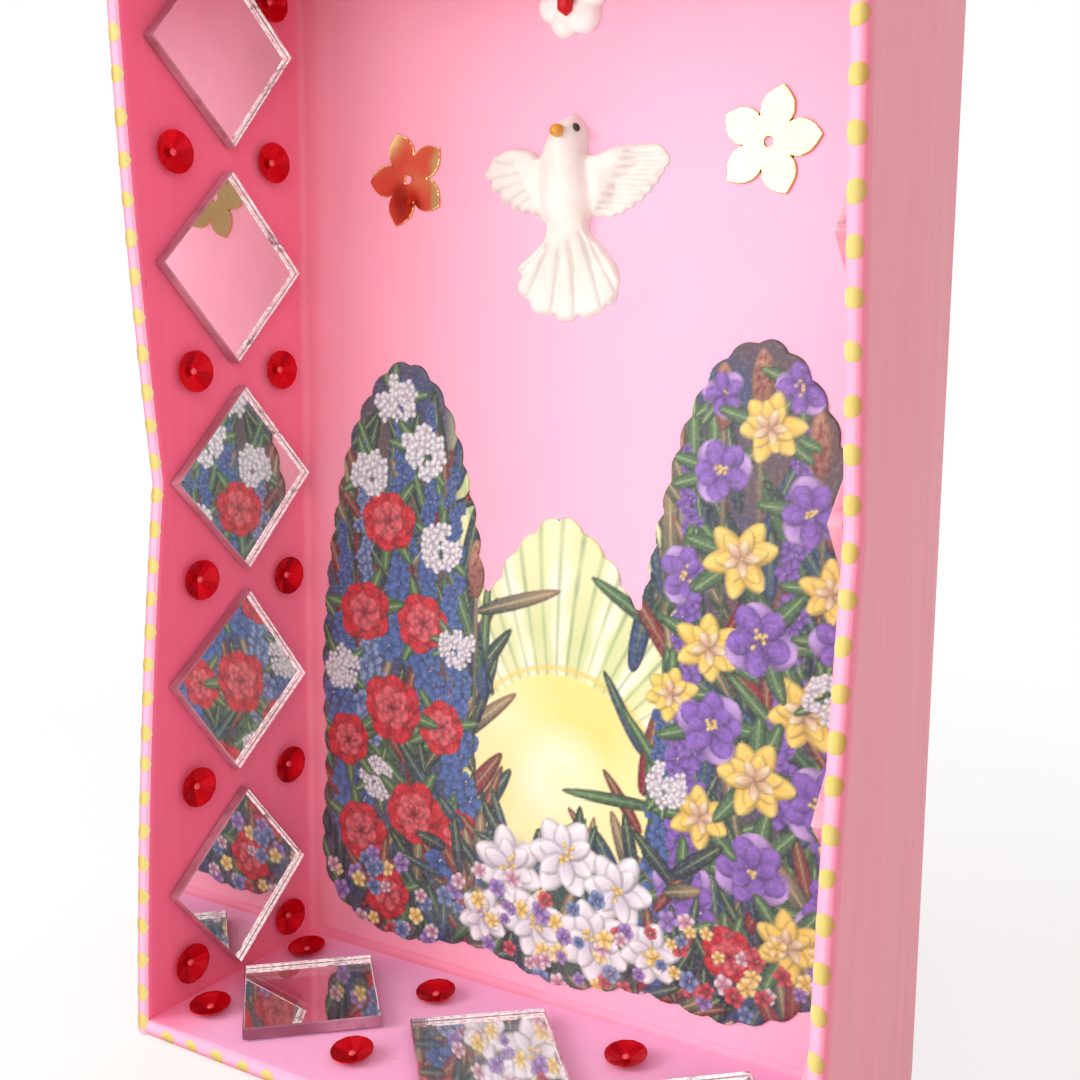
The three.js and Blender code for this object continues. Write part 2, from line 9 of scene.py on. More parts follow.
import bmesh
import bpy
import numpy as np
from mathutils import Matrix, Vector


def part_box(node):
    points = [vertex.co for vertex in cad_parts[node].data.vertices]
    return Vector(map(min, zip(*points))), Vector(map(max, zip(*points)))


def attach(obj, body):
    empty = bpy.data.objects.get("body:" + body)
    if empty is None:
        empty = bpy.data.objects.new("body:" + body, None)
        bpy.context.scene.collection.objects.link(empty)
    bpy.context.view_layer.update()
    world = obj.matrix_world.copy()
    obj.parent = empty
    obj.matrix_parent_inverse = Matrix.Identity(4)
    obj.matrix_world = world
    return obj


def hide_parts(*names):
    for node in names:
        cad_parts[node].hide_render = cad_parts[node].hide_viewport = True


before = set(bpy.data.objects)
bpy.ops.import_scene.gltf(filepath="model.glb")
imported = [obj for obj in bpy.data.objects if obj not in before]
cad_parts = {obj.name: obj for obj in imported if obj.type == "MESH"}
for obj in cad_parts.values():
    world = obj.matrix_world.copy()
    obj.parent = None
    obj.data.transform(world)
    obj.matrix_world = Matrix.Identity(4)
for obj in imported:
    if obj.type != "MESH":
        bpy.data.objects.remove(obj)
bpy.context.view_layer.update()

MM = 0.001

# Case, read from the model
PANEL_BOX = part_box("back_panel")
RIGHT_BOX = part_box("right_side_board")
INNER_X = PANEL_BOX[1].x        # half of the inner width
PANEL_Y = PANEL_BOX[0].y        # front face of the back panel
FRONT_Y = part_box("floor_board")[0].y
FLOOR_Z = PANEL_BOX[0].z        # upper face of the floor board
CEILING_Z = PANEL_BOX[1].z
HEIGHT = RIGHT_BOX[1].z
BOARD = RIGHT_BOX[1].x - INNER_X
WAIST_DEPTH = 51.2 * MM         # back panel to front edge, half way up
FRONT_BULGE = 1.5 * MM
EASED_EDGE = 1.6 * MM
SEAT = 0.04 * MM                # gap left under what is glued to the back panel

# Each wall: the way it faces, and how far behind the origin its face lies
WALLS = {
    "left": ((1, 0, 0), INNER_X), "right": ((-1, 0, 0), INNER_X), "back": ((0, -1, 0), PANEL_Y),
    "floor": ((0, 0, 1), -FLOOR_Z), "top": ((0, 0, -1), CEILING_Z),
}

# Camera, as the photograph was taken: place, heading, tilt and roll
CAMERA_AT = (0.14635, -0.23012, 0.16023)
CAMERA_YAW = 30.837             # degrees to the left of +Y
CAMERA_PITCH = 7.389            # degrees down
CAMERA_ROLL = 0.527
CAMERA_LENS = 41.69             # mm, on a 36 mm sensor

# Light. Each lamp: place, power, size, colour, and whether metal and mirrors see it
WORLD_LEVEL = 0.77
LAMPS = {
    "key": ((-0.49, -1.04, 0.42), 2.3, (0.34, 0.5), (1.0, 0.985, 0.96), True),
    "side": ((-0.80, -0.70, 0.62), 6.0, (0.5, 0.5), (1.0, 0.985, 0.96), False),
    "fill": ((0.62, -0.8, 0.62), 2.8, (0.9, 0.9), (0.97, 0.98, 1.0), False),
}
ROOM_DIM = (0.35, 0.7, 0.0, 0.45)  # how much darker metal sees the room to either side

# The pale floor, and its share of plain white from near the box to far away
FLOOR_HALF = 3.0
FLOOR_FADE = (0.12, 0.55, 0.55, 1.0)

SEED = 7
RIM_ANGLE = math.radians(50)    # sharper edges don't blend
FULL_TURN = 6.28


# Helpers

def display(code):
    """Display colour of a hex code."""
    return np.array([int(code[i:i + 2], 16) for i in (0, 2, 4)]) / 255


def linear(shown):
    """Linear colour of a display colour."""
    return np.where(shown <= 0.04045, shown / 12.92, ((shown + 0.055) / 1.055) ** 2.4)


def unit(values):
    """Values held between 0 and 1."""
    return np.clip(values, 0, 1)


def polar(angle, along, at=(0, 0), aside=0.0):
    """A place that lies this far from another along an angle, and aside to its left."""
    c, s = math.cos(angle), math.sin(angle)
    return at[0] + along * c - aside * s, at[1] + along * s + aside * c


def window(axes, lows, highs):
    """The part of a grid that lies between two corners."""
    return tuple(slice(*np.searchsorted(values, ends)) for values, *ends in zip(axes, lows, highs))


def ring_faces(rings, around, foot=True, top=True):
    """Faces between closed rings of points, and over the first and last ring."""
    starts = [(i * around, k, (k + 1) % around) for i in range(rings - 1) for k in range(around)]
    faces = [(a + k, a + m, a + m + around, a + k + around) for a, k, m in starts]
    return (faces + foot * [tuple(reversed(range(around)))]
            + top * [tuple(range((rings - 1) * around, rings * around))])


def new_mesh(name, vertices, faces, material, smooth=True):
    mesh = bpy.data.meshes.new(name)
    mesh.from_pydata([tuple(v) for v in vertices], [], faces)
    mesh.validate()
    if smooth:
        mesh.shade_smooth()
    mesh.materials.append(material)
    return mesh


def mend(mesh, weld=0.0, thin=0.0, sharp=False):
    """Drops loose points, joins doubled ones, drops faces without area, turns
    the rest outwards and marks sharp edges."""
    work = bmesh.new()
    work.from_mesh(mesh)
    bmesh.ops.delete(work, geom=[v for v in work.verts if not v.link_faces], context="VERTS")
    if weld:
        bmesh.ops.remove_doubles(work, verts=work.verts, dist=weld)
    if thin:
        bmesh.ops.dissolve_degenerate(work, dist=thin, edges=work.edges)
    bmesh.ops.recalc_face_normals(work, faces=work.faces)
    for edge in work.edges:
        if sharp and edge.calc_face_angle(0.0) > RIM_ANGLE:
            edge.smooth = False
    work.to_mesh(mesh)
    work.free()


def add(mesh, node=None, name=None, place=None):
    """An object that rides on the box, and may stand for a CAD node."""
    obj = bpy.data.objects.new(name or mesh.name, mesh)
    if place:
        obj.matrix_world = place
    bpy.context.scene.collection.objects.link(obj)
    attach(obj, "root")
    if node:
        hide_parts(node)


class Nodes:
    """Short calls for the nodes of one tree."""

    def __init__(self, tree):
        self.tree = tree

    def new(self, kind, **settings):
        node = self.tree.nodes.new(f"ShaderNode{kind}")
        for key, value in settings.items():
            setattr(node, key, value)
        return node

    def set(self, socket, value):
        """Links or sets a socket."""
        if isinstance(value, bpy.types.NodeSocket):
            self.tree.links.new(value, socket)
        else:
            socket.default_value = value

    def fill(self, node, *values, out=0, **named):
        """Fills a node's first sockets and those that are named, and returns an output."""
        named = {node.inputs[key.replace("_", " ")]: value for key, value in named.items()}
        for socket, value in (*zip(node.inputs, values), *named.items()):
            self.set(socket, value)
        return node.outputs[out]

    def math(self, operation, a, b=0.0):
        return self.fill(self.new("Math", operation=operation), a, b)

    def remap(self, value, low, high, to_low=0.0, to_high=1.0):
        node = self.new("MapRange", interpolation_type="SMOOTHSTEP")
        return self.fill(node, value, low, high, to_low, to_high)

    def white_rays(self):
        """1 for the rays that see the background as plain white."""
        rays = self.new("LightPath").outputs
        seen = self.math("MAXIMUM", rays["Is Camera Ray"], rays["Is Glossy Ray"])
        return self.math("MAXIMUM", seen, rays["Is Transmission Ray"])

    def surface(self, output, share, first, second):
        mixed = self.fill(self.new("MixShader"), share, first.outputs[0], second.outputs[0])
        self.set(self.tree.nodes[output].inputs["Surface"], mixed)


class Shader(Nodes):
    """A material. Its colours are hex codes, linear triples or sockets."""

    def __init__(self, name, **constants):
        self.material = bpy.data.materials.new(name)
        self.material.use_nodes = True
        super().__init__(self.material.node_tree)
        self.bsdf = self.tree.nodes["Principled BSDF"]
        self.place = self.new("TexCoord").outputs["Object"]
        self.look(**constants)

    def look(self, **values):
        self.fill(self.bsdf, **values)

    def dot(self, a, b):
        return self.fill(self.new("VectorMath", operation="DOT_PRODUCT"), a, b, out="Value")

    def axis(self, letter):
        """One of the object coordinates."""
        return self.fill(self.new("SeparateXYZ"), self.place, out=letter)

    def noise(self, scale, detail=4.0, roughness=0.55):
        """Noise of one scale, or of a scale for each axis."""
        vector = self.place
        if isinstance(scale, tuple):
            vector = self.fill(self.new("VectorMath", operation="MULTIPLY"), vector, scale)
            scale = 1.0
        return self.fill(self.new("TexNoise"), Vector=vector, Scale=scale, Detail=detail, Roughness=roughness)

    def mix(self, factor, a, b):
        node = self.new("Mix", data_type="RGBA")
        self.set(node.inputs[0], factor)
        for socket, value in ((node.inputs[6], a), (node.inputs[7], b)):
            if isinstance(value, str):
                value = linear(display(value))
            self.set(socket, value if isinstance(value, bpy.types.NodeSocket) else (*value, 1.0))
        return node.outputs[2]

    def tint(self, colour, *layers):
        """Turns a colour to each layer's tone as a value rises. A layer is (tone,
        value, low, high), and has a last number if it ends at less than all."""
        for tone, value, low, high, *share in layers:
            colour = self.mix(self.remap(value, low, high, 0.0, *share), colour, tone)
        return colour

    def bump(self, height, strength, distance):
        self.look(Normal=self.fill(self.new("Bump"), Height=height, Strength=strength, Distance=distance))


def mottled(name, clouds, low, high, span=None, rough=None, dents=None, **constants):
    """A material that goes from one colour to another in clouds, (scale, detail).
    span narrows the change, rough is the roughness along it, and dents are the
    (scale, detail), strength and distance of a bump."""
    shader = Shader(name, **constants)
    cloud = shader.noise(*clouds)
    shader.look(Base_Color=shader.mix(shader.remap(cloud, *span) if span else cloud, low, high))
    if rough:
        shader.look(Roughness=shader.remap(cloud, *rough))
    if dents:
        shader.bump(shader.noise(*dents[0]), *dents[1:])
    return shader.material


# Camera, light and stage

def add_camera():
    data = bpy.data.cameras.new("camera")
    data.lens = CAMERA_LENS
    data.sensor_width = 36
    data.clip_start = 0.01
    camera = bpy.data.objects.new("camera", data)
    turns = ((CAMERA_YAW, "Z"), (90 - CAMERA_PITCH, "X"), (CAMERA_ROLL, "Z"))
    yaw, tilt, roll = (Matrix.Rotation(math.radians(angle), 4, axis) for angle, axis in turns)
    camera.matrix_world = Matrix.Translation(CAMERA_AT) @ yaw @ tilt @ roll
    bpy.context.scene.collection.objects.link(camera)
    bpy.context.scene.camera = camera


def add_lamp(name, at, power, size, colour, seen):
    data = bpy.data.lights.new(name, "AREA")
    data.energy = power
    data.shape = "RECTANGLE"
    data.size, data.size_y = size
    data.color = colour
    lamp = bpy.data.objects.new(name, data)
    lamp.location = at
    aim = Vector((0, 0, HEIGHT / 2)) - Vector(at)
    lamp.rotation_euler = aim.to_track_quat("-Z", "Y").to_euler()
    lamp.visible_glossy = seen
    bpy.context.scene.collection.objects.link(lamp)


def add_world():
    """Soft light all round, which the camera sees as plain white. Mirrors and
    metal see it so too, but for the two sides of the room."""
    world = bpy.data.worlds.new("world")
    bpy.context.scene.world = world
    world.use_nodes = True
    sky = Nodes(world.node_tree)
    lit, seen = sky.tree.nodes["Background"], sky.new("Background")
    sky.fill(lit, Color=(1, 1, 1, 1), Strength=WORLD_LEVEL)
    aside = sky.fill(sky.new("SeparateXYZ"), sky.new("TexCoord").outputs["Generated"])
    dim = sky.remap(sky.math("ABSOLUTE", aside), *ROOM_DIM)
    dim = sky.math("MULTIPLY", dim, sky.new("LightPath").outputs["Is Glossy Ray"])
    sky.fill(seen, Color=(1, 1, 1, 1), Strength=sky.math("SUBTRACT", 1.0, dim))
    sky.surface("World Output", sky.white_rays(), lit, seen)


def add_table():
    """A pale floor that fades to the white of the background with distance,
    and near the box keeps its shadow."""
    shader = Shader("pale_floor", Roughness=0.7)
    shader.look(Base_Color=shader.mix(shader.noise(6.0), "f6f3ee", "fdfbf8"))
    glow = shader.new("Emission")
    shader.fill(glow, Color=(1, 1, 1, 1))
    away = shader.fill(shader.new("VectorMath", operation="LENGTH"), shader.place, out="Value")
    share = shader.math("MULTIPLY", shader.white_rays(), shader.remap(away, *FLOOR_FADE))
    shader.surface("Material Output", share, shader.bsdf, glow)
    corners = [(x * FLOOR_HALF, y * FLOOR_HALF, 0) for x, y in ((-1, -1), (1, -1), (1, 1), (-1, 1))]
    mesh = new_mesh("pale_floor", corners, [(0, 1, 2, 3)], shader.material, smooth=False)
    table = bpy.data.objects.new("pale_floor", mesh)
    bpy.context.scene.collection.objects.link(table)


# Painted boards

UPRIGHT = (520, 520, 14)        # how brush marks are stretched
LEVEL = (14, 520, 520)
# Painted light: the side walls' paint turns paler towards the back panel, where the corners lie in shade
PAINTED_LIGHT_TO_PANEL = [("Y", FRONT_Y + 12 * MM, PANEL_Y, "fa829e")]
# Each board: the colour of its inner face, its brush marks, and the tones that
# this face turns to along an axis, (axis, from, to, colour). The inner faces'
# pinks differ board by board as painted light and shade on one pink paint, and
# the tones are painted light and shade too: the side walls paler towards the
# panel, the floor redder near the left wall as painted reflected light, and the
# panel deeper towards the left wall as painted shade.
BOARDS = {
    "left_side_board": ("f46c8d", UPRIGHT, PAINTED_LIGHT_TO_PANEL),
    "right_side_board": ("f46c8d", UPRIGHT, PAINTED_LIGHT_TO_PANEL),
    "top_board": ("f47ba4", LEVEL, []),
    "floor_board": ("ffbae2", LEVEL, [("X", -0.76 * INNER_X, -1.02 * INNER_X, "ff8cb2")]),
    "back_panel": ("ffc4e0", UPRIGHT, [("X", 0.85 * INNER_X, -1.15 * INNER_X, "ffa0b6"),
                                       ("X", 9 * MM - INNER_X, -INNER_X, "f68ba3")]),
}


def brushed_paint(name, inner, skin, inside, stroke, painted_light_tones):
    """Hand-brushed pink paint: one colour on the inner face, one round the
    edges and one outside, where it is rubbed. These colours are painted light
    and shade on one pink paint: a pale front, a darker band painted as shade
    where the front edge rolls outwards, and the inner face's painted tones."""
    shader = Shader(name, Specular_IOR_Level=0.35)
    outer = tuple(-v for v in inner)
    normal = shader.new("NewGeometry").outputs["True Normal"]
    outwards = shader.dot(normal, outer)
    through = shader.dot(shader.place, outer)
    inside = shader.tint(inside, *((tone, shader.axis(axis), *ends) for axis, *ends, tone in painted_light_tones))
    streaks = shader.noise(stroke, 5.0, 0.6)
    # Painted light and shade: darker across the eased front edge as it rolls outwards, and a colour for each
    # face by how it turns to the light
    colour = shader.tint("fdafcd", ("d9748c", through, skin + 0.42 * BOARD, skin + 0.86 * BOARD),
                         ("e08692", outwards, 0.93, 0.995), (inside, shader.dot(normal, inner), 0.8, 0.98),
                         ("ffe1ea", streaks, 0.35, 0.75, 0.035),
                         ("d0506e", shader.noise(16.0, 3.0), 0.4, 0.7, 0.06))
    rubbed = shader.remap(shader.noise(tuple(v * 0.12 for v in stroke), 3.0), 0.42, 0.68, 0.0, 0.22)
    rubbed = shader.math("MULTIPLY", rubbed, shader.remap(outwards, 0.9, 0.99))
    colour = shader.mix(rubbed, colour, "c9909a")
    pit = shader.remap(shader.noise((420, 420, 160), 2.0, 0.5), 0.74, 0.80)
    colour = shader.mix(shader.math("MULTIPLY", pit, 0.35), colour, "a24a58")
    shader.look(Base_Color=colour, Roughness=shader.remap(streaks, 0.3, 0.7, 0.38, 0.52))
    shader.bump(shader.math("SUBTRACT", streaks, shader.math("MULTIPLY", pit, 0.8)), 0.2, 0.04 * MM)
    return shader.material


def paint_boards():
    for node, look in BOARDS.items():
        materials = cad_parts[node].data.materials
        materials.clear()
        materials.append(brushed_paint(f"paint_{node}", *WALLS[node.split("_")[0]], *look))


# Paint and glue in the corners round the back panel

FILLET = 2.0 * MM
FILLET_STEPS = 8
FILLET_ROW = 6 * MM
FILLET_THINNER = 0.08           # greatest share that the hand left out


def fillet_paint(name, start, end):
    """The brushed paint where it pooled, from the left end's to the right end's colour: painted shade, deeper
    towards the left wall.
    """
    shader = Shader(name, Specular_IOR_Level=0.35, Roughness=0.42)
    shader.look(Base_Color=shader.tint(start, (end, shader.axis("X"), -1.15 * INNER_X, 0.85 * INNER_X),
                                       ("e0607e", shader.noise(90.0, 3.0), 0.4, 0.7, 0.12)))
    shader.bump(shader.noise(320.0, 3.0), 0.25, 0.06 * MM)
    return shader.material


def fill_corner(wall, corner, along, material):
    """A hollow fillet between a wall and the panel, from a corner's start."""
    name = f"paint_fillet_{wall}"
    rng = np.random.default_rng(SEED + len(name))
    off_wall = Vector(WALLS[wall][0])
    arc = [math.pi / 2 * k / FILLET_STEPS for k in range(FILLET_STEPS + 1)]
    section = [(0.0, 0.0)] + [(1 - math.sin(a), 1 - math.cos(a)) for a in arc]
    rows = max(int(along.length / FILLET_ROW), 2)
    vertices = []
    for i in range(rows + 1):
        size = FILLET * (1 + rng.uniform(-FILLET_THINNER, 0.0) * (0 < i < rows))
        for out, off in section:
            vertices.append(corner + along * (i / rows) + off_wall * out * size + Vector((0, -off * size, 0)))
    mesh = new_mesh(name, vertices, ring_faces(rows + 1, len(section)), material)
    mend(mesh, sharp=True)
    add(mesh)


def fill_corners():
    upright = Vector((0, 0, CEILING_Z - FLOOR_Z))
    level = Vector((2 * INNER_X, 0, 0))
    foot = Vector((-INNER_X, PANEL_Y, FLOOR_Z))
    # Each runs from a deeper pink at the left to a paler one at the right: painted shade from the left wall
    sides = fillet_paint("paint_fillet_sides", "f78aa2", "fca8c0")
    cross = fillet_paint("paint_fillet_cross", "f586a2", "ffb8d8")
    fill_corner("left", foot, upright, sides)
    fill_corner("right", foot + level, upright, sides)
    fill_corner("floor", foot, level, cross)
    fill_corner("top", foot + upright, level, cross)


# Painted dashes along the front edges

DASH_PITCH = 8.0 * MM           # at the foot; the hand spread them out towards the top
DASH_PITCH_TOP = 9.0 * MM
DASH_LENGTH = 3.8 * MM
DASH_START = 3.2 * MM
DASH_DRIFT = -0.31              # of a pitch, along the floor and the top
DASH_LIFT = 0.10 * MM
DASH_TIP = 0.02 * MM
DASH_ROWS = 10
DASH_STEPS = 8
SIDE_REACH = (0.11, 0.80)       # start and end across the edge, as for edge_section
CROSS_REACH = (0.26, 0.78)
# How far the hand strayed: in length, in MM along and askew, and at either end of the reach
DASH_STRAYS = [(-0.10, 0.12), (-0.4, 0.4), (-0.35, 0.35), (-0.02, 0.02), (-0.05, 0.04)]


def front_edge_y(z):
    """Y of a side board's front edge: two shallow bows that meet at the waist."""
    t = min(abs(z - HEIGHT / 2) / (HEIGHT / 2), 1.0)
    inner_depth = PANEL_Y - FRONT_Y
    depth = WAIST_DEPTH + (inner_depth - WAIST_DEPTH) * t + 4 * FRONT_BULGE * t * (1 - t)
    return PANEL_Y - depth


def edge_section(t):
    """A point on the eased edge's section: (across the board, behind its front
    line), for t from 0 at the inner face to 1 at the outer face."""
    r = EASED_EDGE
    arc = r * math.pi / 2
    flat = BOARD - 2 * r
    s = t * (flat + 2 * arc)
    if s < arc:
        a = s / r
        return r - r * math.cos(a), r - r * math.sin(a)
    if s > arc + flat:
        a = (s - arc - flat) / r
        return BOARD - r + r * math.sin(a), r - r * math.cos(a)
    return r + s - arc, 0.0


def on_side(sign):
    """Gives points by their place along a side's edge, out from its inner face and back."""
    return lambda along, out, back: (sign * (INNER_X + out), front_edge_y(along) + back, along)


def on_cross(sign, inner_z):
    return lambda along, out, back: (along, FRONT_Y + back, inner_z + sign * out)


def paint_dashes(material):
    """Yellow dashes brushed by hand across the eased front edges."""
    rng = np.random.default_rng(SEED)
    vertices, faces, shade = [], [], []
    row = DASH_STEPS + 1

    def dash(place, middle, reach):
        start = len(vertices)
        longer, further, skew, low, high = (rng.uniform(*ends) for ends in DASH_STRAYS)
        length = DASH_LENGTH * (1 + longer)
        middle = middle + further * MM
        skew *= MM
        low, high = reach[0] + low, reach[1] + high
        for i in range(DASH_ROWS + 1):
            v = 2 * i / DASH_ROWS - 1
            half = length / 2 * math.sqrt(1 - abs(v) ** 2.2)
            t = (low + high) / 2 + v * (high - low) / 2
            across, behind = edge_section(t)
            tilt = max(-1, min(1, (2 * across / BOARD - 1) ** 3))
            shade.extend([t] * row)
            for j in range(row):
                u = 2 * j / DASH_STEPS - 1
                lift = DASH_LIFT * (1.0 if abs(u) < 0.95 and abs(v) < 0.95 else 0.35)
                along = middle + skew * v + u * max(half, DASH_TIP)
                vertices.append(place(along, across + lift * tilt, behind - lift))
        corners = [start + i * row + j for i in range(DASH_ROWS) for j in range(DASH_STEPS)]
        faces.extend((a, a + 1, a + row + 1, a + row) for a in corners)

    for sign in (-1, 1):
        z = DASH_START
        while z < HEIGHT - 2 * MM:
            dash(on_side(sign), z, SIDE_REACH)
            rise = min(max(z / HEIGHT - 0.4, 0) / 0.4, 1)
            z += DASH_PITCH + (DASH_PITCH_TOP - DASH_PITCH) * rise
    count = int((2 * INNER_X - 4 * MM) / DASH_PITCH)
    for sign, inner_z in ((-1, FLOOR_Z), (1, CEILING_Z)):
        for i in range(1, count + 1):
            dash(on_cross(sign, inner_z), (i - count / 2 + DASH_DRIFT) * DASH_PITCH, CROSS_REACH)
    mesh = new_mesh("front_edge_dashes", vertices, faces, material)
    # The place across each dash, from which the dash paint darkens it as painted shade
    mesh.attributes.new("across", "FLOAT", "POINT").data.foreach_set("value", shade)
    add(mesh)


def dash_paint():
    """Thin yellow over the pink, pale on the inner side and turning olive where it rolls outwards as painted
    shade.
    """
    shader = Shader("yellow_dash_paint", Roughness=0.42, Specular_IOR_Level=0.4)
    across = shader.new("Attribute", attribute_name="across").outputs["Fac"]
    streaks = shader.noise(420.0, 3.0)
    # Pale to olive across the edge: painted shade as the edge turns from the light
    colour = shader.tint("ecdc98", ("d6c268", across, 0.10, 0.42), ("ac803a", across, 0.40, 0.74),
                         ("f5e9b4", shader.noise(45.0, 2.0), 0.35, 0.65, 0.10),
                         ("b9a04a", streaks, 0.55, 0.8, 0.25))
    shader.look(Base_Color=colour)
    shader.bump(streaks, 0.3, 0.08 * MM)
    return shader.material


# Mirror tiles

CUTTER_LINE = 2.2 * MM          # over the wall
# Painted reflection: each wall's glass edges take the pink round them, paler where that wall is lit
EDGE_PAINTED_REFLECTIONS = {"left": ("a9606f", "c98797"), "right": ("f4b0c4", "fcc8d6"),
              "floor": ("8c4a5e", "c4859a"), "top": ("a05a70", "bd7c92")}
TILE_WELD = 0.01 * MM
TILE_FLAT = 0.02                # joins the faces that meet at less than this
TILE_SIDE_OVER = 20 * MM        # edges shorter than this run through the glass, and stay whole
TILE_CUTS = 9
TILE_CHIP = 0.09                # MM


def cut_edge(wall):
    """The ground sides of a wall's glass. From outside they have a painted
    reflection of the pink round them, paler on the lit right wall, and from inside
    they glow with painted light that stands for light coming through them in
    bright specks, with dark lines along the silver and where the cutter ran."""
    shader = Shader(f"mirror_edge_{wall}", Roughness=0.16, Specular_IOR_Level=0.6, Coat_Weight=0.5,
                    Coat_Roughness=0.05)
    cloud = shader.noise(240.0)
    deep, pale = EDGE_PAINTED_REFLECTIONS[wall]
    colour = shader.tint(deep, (pale, shader.noise(60.0, 1.0), 0.35, 0.65), ("86475a", cloud, 0.5, 0.75, 0.5))
    shader.bump(cloud, 0.4, 0.10 * MM)
    # Painted glow: emission seen from inside the glass, standing for light that comes through the ground
    # edges
    glow = shader.tint("d9b0b4", ("fffaf4", shader.noise(900.0, 3.0), 0.42, 0.58),
                       ("6a5254", cloud, 0.56, 0.66))
    inward, skin = WALLS[wall]
    depth = shader.math("ADD", shader.dot(shader.place, inward), skin)
    silver = shader.remap(depth, 0.55 * MM, 0.95 * MM, 0.85, 0.0)
    score = shader.math("ABSOLUTE", shader.math("SUBTRACT", depth, CUTTER_LINE))
    lines = shader.math("MAXIMUM", silver, shader.remap(score, 0.10 * MM, 0.22 * MM, 0.6, 0.0))
    inside = shader.new("NewGeometry").outputs["Backfacing"]
    shader.look(Base_Color=colour, Emission_Color=shader.mix(lines, glow, "624448"),
                Emission_Strength=shader.math("MULTIPLY", inside, 0.9))
    return shader.material


def wall_of(name):
    return name.split("_")[1]


def dress_tile(node, *materials):
    """A closed glass body with slightly chipped edges and a silvered back. Its
    materials are the glass, the silver and the ground edge."""
    rng = np.random.default_rng(SEED + sum(map(ord, node)))
    inward = Vector(WALLS[wall_of(node)][0])
    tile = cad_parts[node].data.copy()
    tile.materials.clear()
    for material in materials:
        tile.materials.append(material)
    mesh = bmesh.new()
    mesh.from_mesh(tile)
    bmesh.ops.remove_doubles(mesh, verts=mesh.verts, dist=TILE_WELD)
    bmesh.ops.dissolve_limit(mesh, angle_limit=TILE_FLAT, verts=mesh.verts, edges=mesh.edges)
    centre = sum(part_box(node), Vector()) / 2
    corners = set(mesh.verts)
    long_edges = [e for e in mesh.edges if e.calc_length() > TILE_SIDE_OVER]
    bmesh.ops.subdivide_edges(mesh, edges=long_edges, cuts=TILE_CUTS, use_grid_fill=False)
    for v in mesh.verts:
        if v not in corners:
            away = v.co - centre
            away -= away.project(inward)
            v.co -= away.normalized() * rng.uniform(0.0, TILE_CHIP) * MM
    bmesh.ops.recalc_face_normals(mesh, faces=mesh.faces)
    for face in mesh.faces:
        facing = face.normal.dot(inward)
        face.material_index = 1 if facing < -0.9 else 2 if facing < 0.9 else 0
    mesh.to_mesh(tile)
    mesh.free()
    add(tile, node, f"glass_{node}")


def dress_tiles():
    glass = mottled("mirror_glass", (30.0, 1.0), (0.955, 0.985, 0.975), (0.985, 0.995, 0.99),
                    Roughness=0.0, IOR=1.5, Transmission_Weight=1.0)
    silver = mottled("silvering", (60.0, 4.0), (0.95, 0.955, 0.95), (0.90, 0.905, 0.90), span=(0.4, 0.8),
                     Metallic=1.0, Roughness=0.012)
    edges = {wall: cut_edge(wall) for wall in EDGE_PAINTED_REFLECTIONS}
    for node in sorted(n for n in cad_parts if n.startswith("mirror_")):
        dress_tile(node, glass, silver, edges[wall_of(node)])


# Sequins

SEQUIN_FOOT = 1.5 * MM
SEQUIN_LEAN = math.radians(7.5)
SEQUIN_WOBBLE = 0.02
SEQUIN_FLUTES = 12
CUP_SIDES = 48
PIN_SIDES = 24
WELD = 0.005 * MM
FLUTE_DEPTH = 0.012             # of the radius
# Rings in MM: radius, height, and whether flutes run over it
CUP_RINGS = [
    (0.0, 0.05, 0), (0.7, 0.05, 0), (1.5, 0.07, 0), (1.75, 0.20, 0), (2.6, 0.54, 1), (3.6, 0.98, 1),
    (4.5, 1.46, 1), (4.9, 1.72, 1), (5.0, 1.70, 1), (4.98, 1.50, 1), (4.55, 1.18, 1), (3.65, 0.72, 1),
    (2.6, 0.32, 1), (1.75, 0.05, 0), (1.5, 0.0, 0), (0.0, 0.0, 0),
]
PIN_RINGS = [
    (0.5, 0.08, 0), (0.5, 0.30, 0), (0.82, 0.40, 0), (0.90, 0.58, 0), (0.85, 0.82, 0), (0.64, 1.04, 0),
    (0.34, 1.16, 0), (0.0, 1.2, 0),
]


def turned(name, rings, around, material, foot=True, top=True, weld=0.0,
           at=np.zeros(3), axes=MM * np.eye(3)):
    """A turned form at a place, with its axes to two sides and upwards."""
    vertices = []
    for radius, height, fluted in rings:
        for k in range(around):
            a = 2 * math.pi * k / around
            ripple = fluted * FLUTE_DEPTH * radius * math.cos(SEQUIN_FLUTES * a)
            vertices.append(at + (*polar(a, radius), height + ripple) @ np.array(axes))
    mesh = new_mesh(name, vertices, ring_faces(len(rings), around, foot, top), material)
    mend(mesh, weld)
    return mesh


def set_sequin(name, at, cup, pin, rng, node=None):
    """A cup and its pin at a place on a wall. All the pins were driven in from
    the open front, so the cups lean that way."""
    inward = Vector(WALLS[wall_of(name)][0])
    spin = Matrix.Rotation(rng.uniform(0, FULL_TURN), 4, "Z")
    spin @= Matrix.Rotation(rng.normal(0, SEQUIN_WOBBLE), 4, "X")
    turn = inward.to_track_quat("Z", "Y").to_matrix().to_4x4()
    lean = Matrix.Rotation(SEQUIN_LEAN, 4, inward.cross((0, -1, 0)))
    place = Matrix.Translation(at + inward * SEQUIN_FOOT * math.sin(SEQUIN_LEAN)) @ lean @ turn @ spin
    add(cup, node, name.replace("sequin", "cup"), place)
    add(pin, None, name.replace("sequin", "pin"), place)


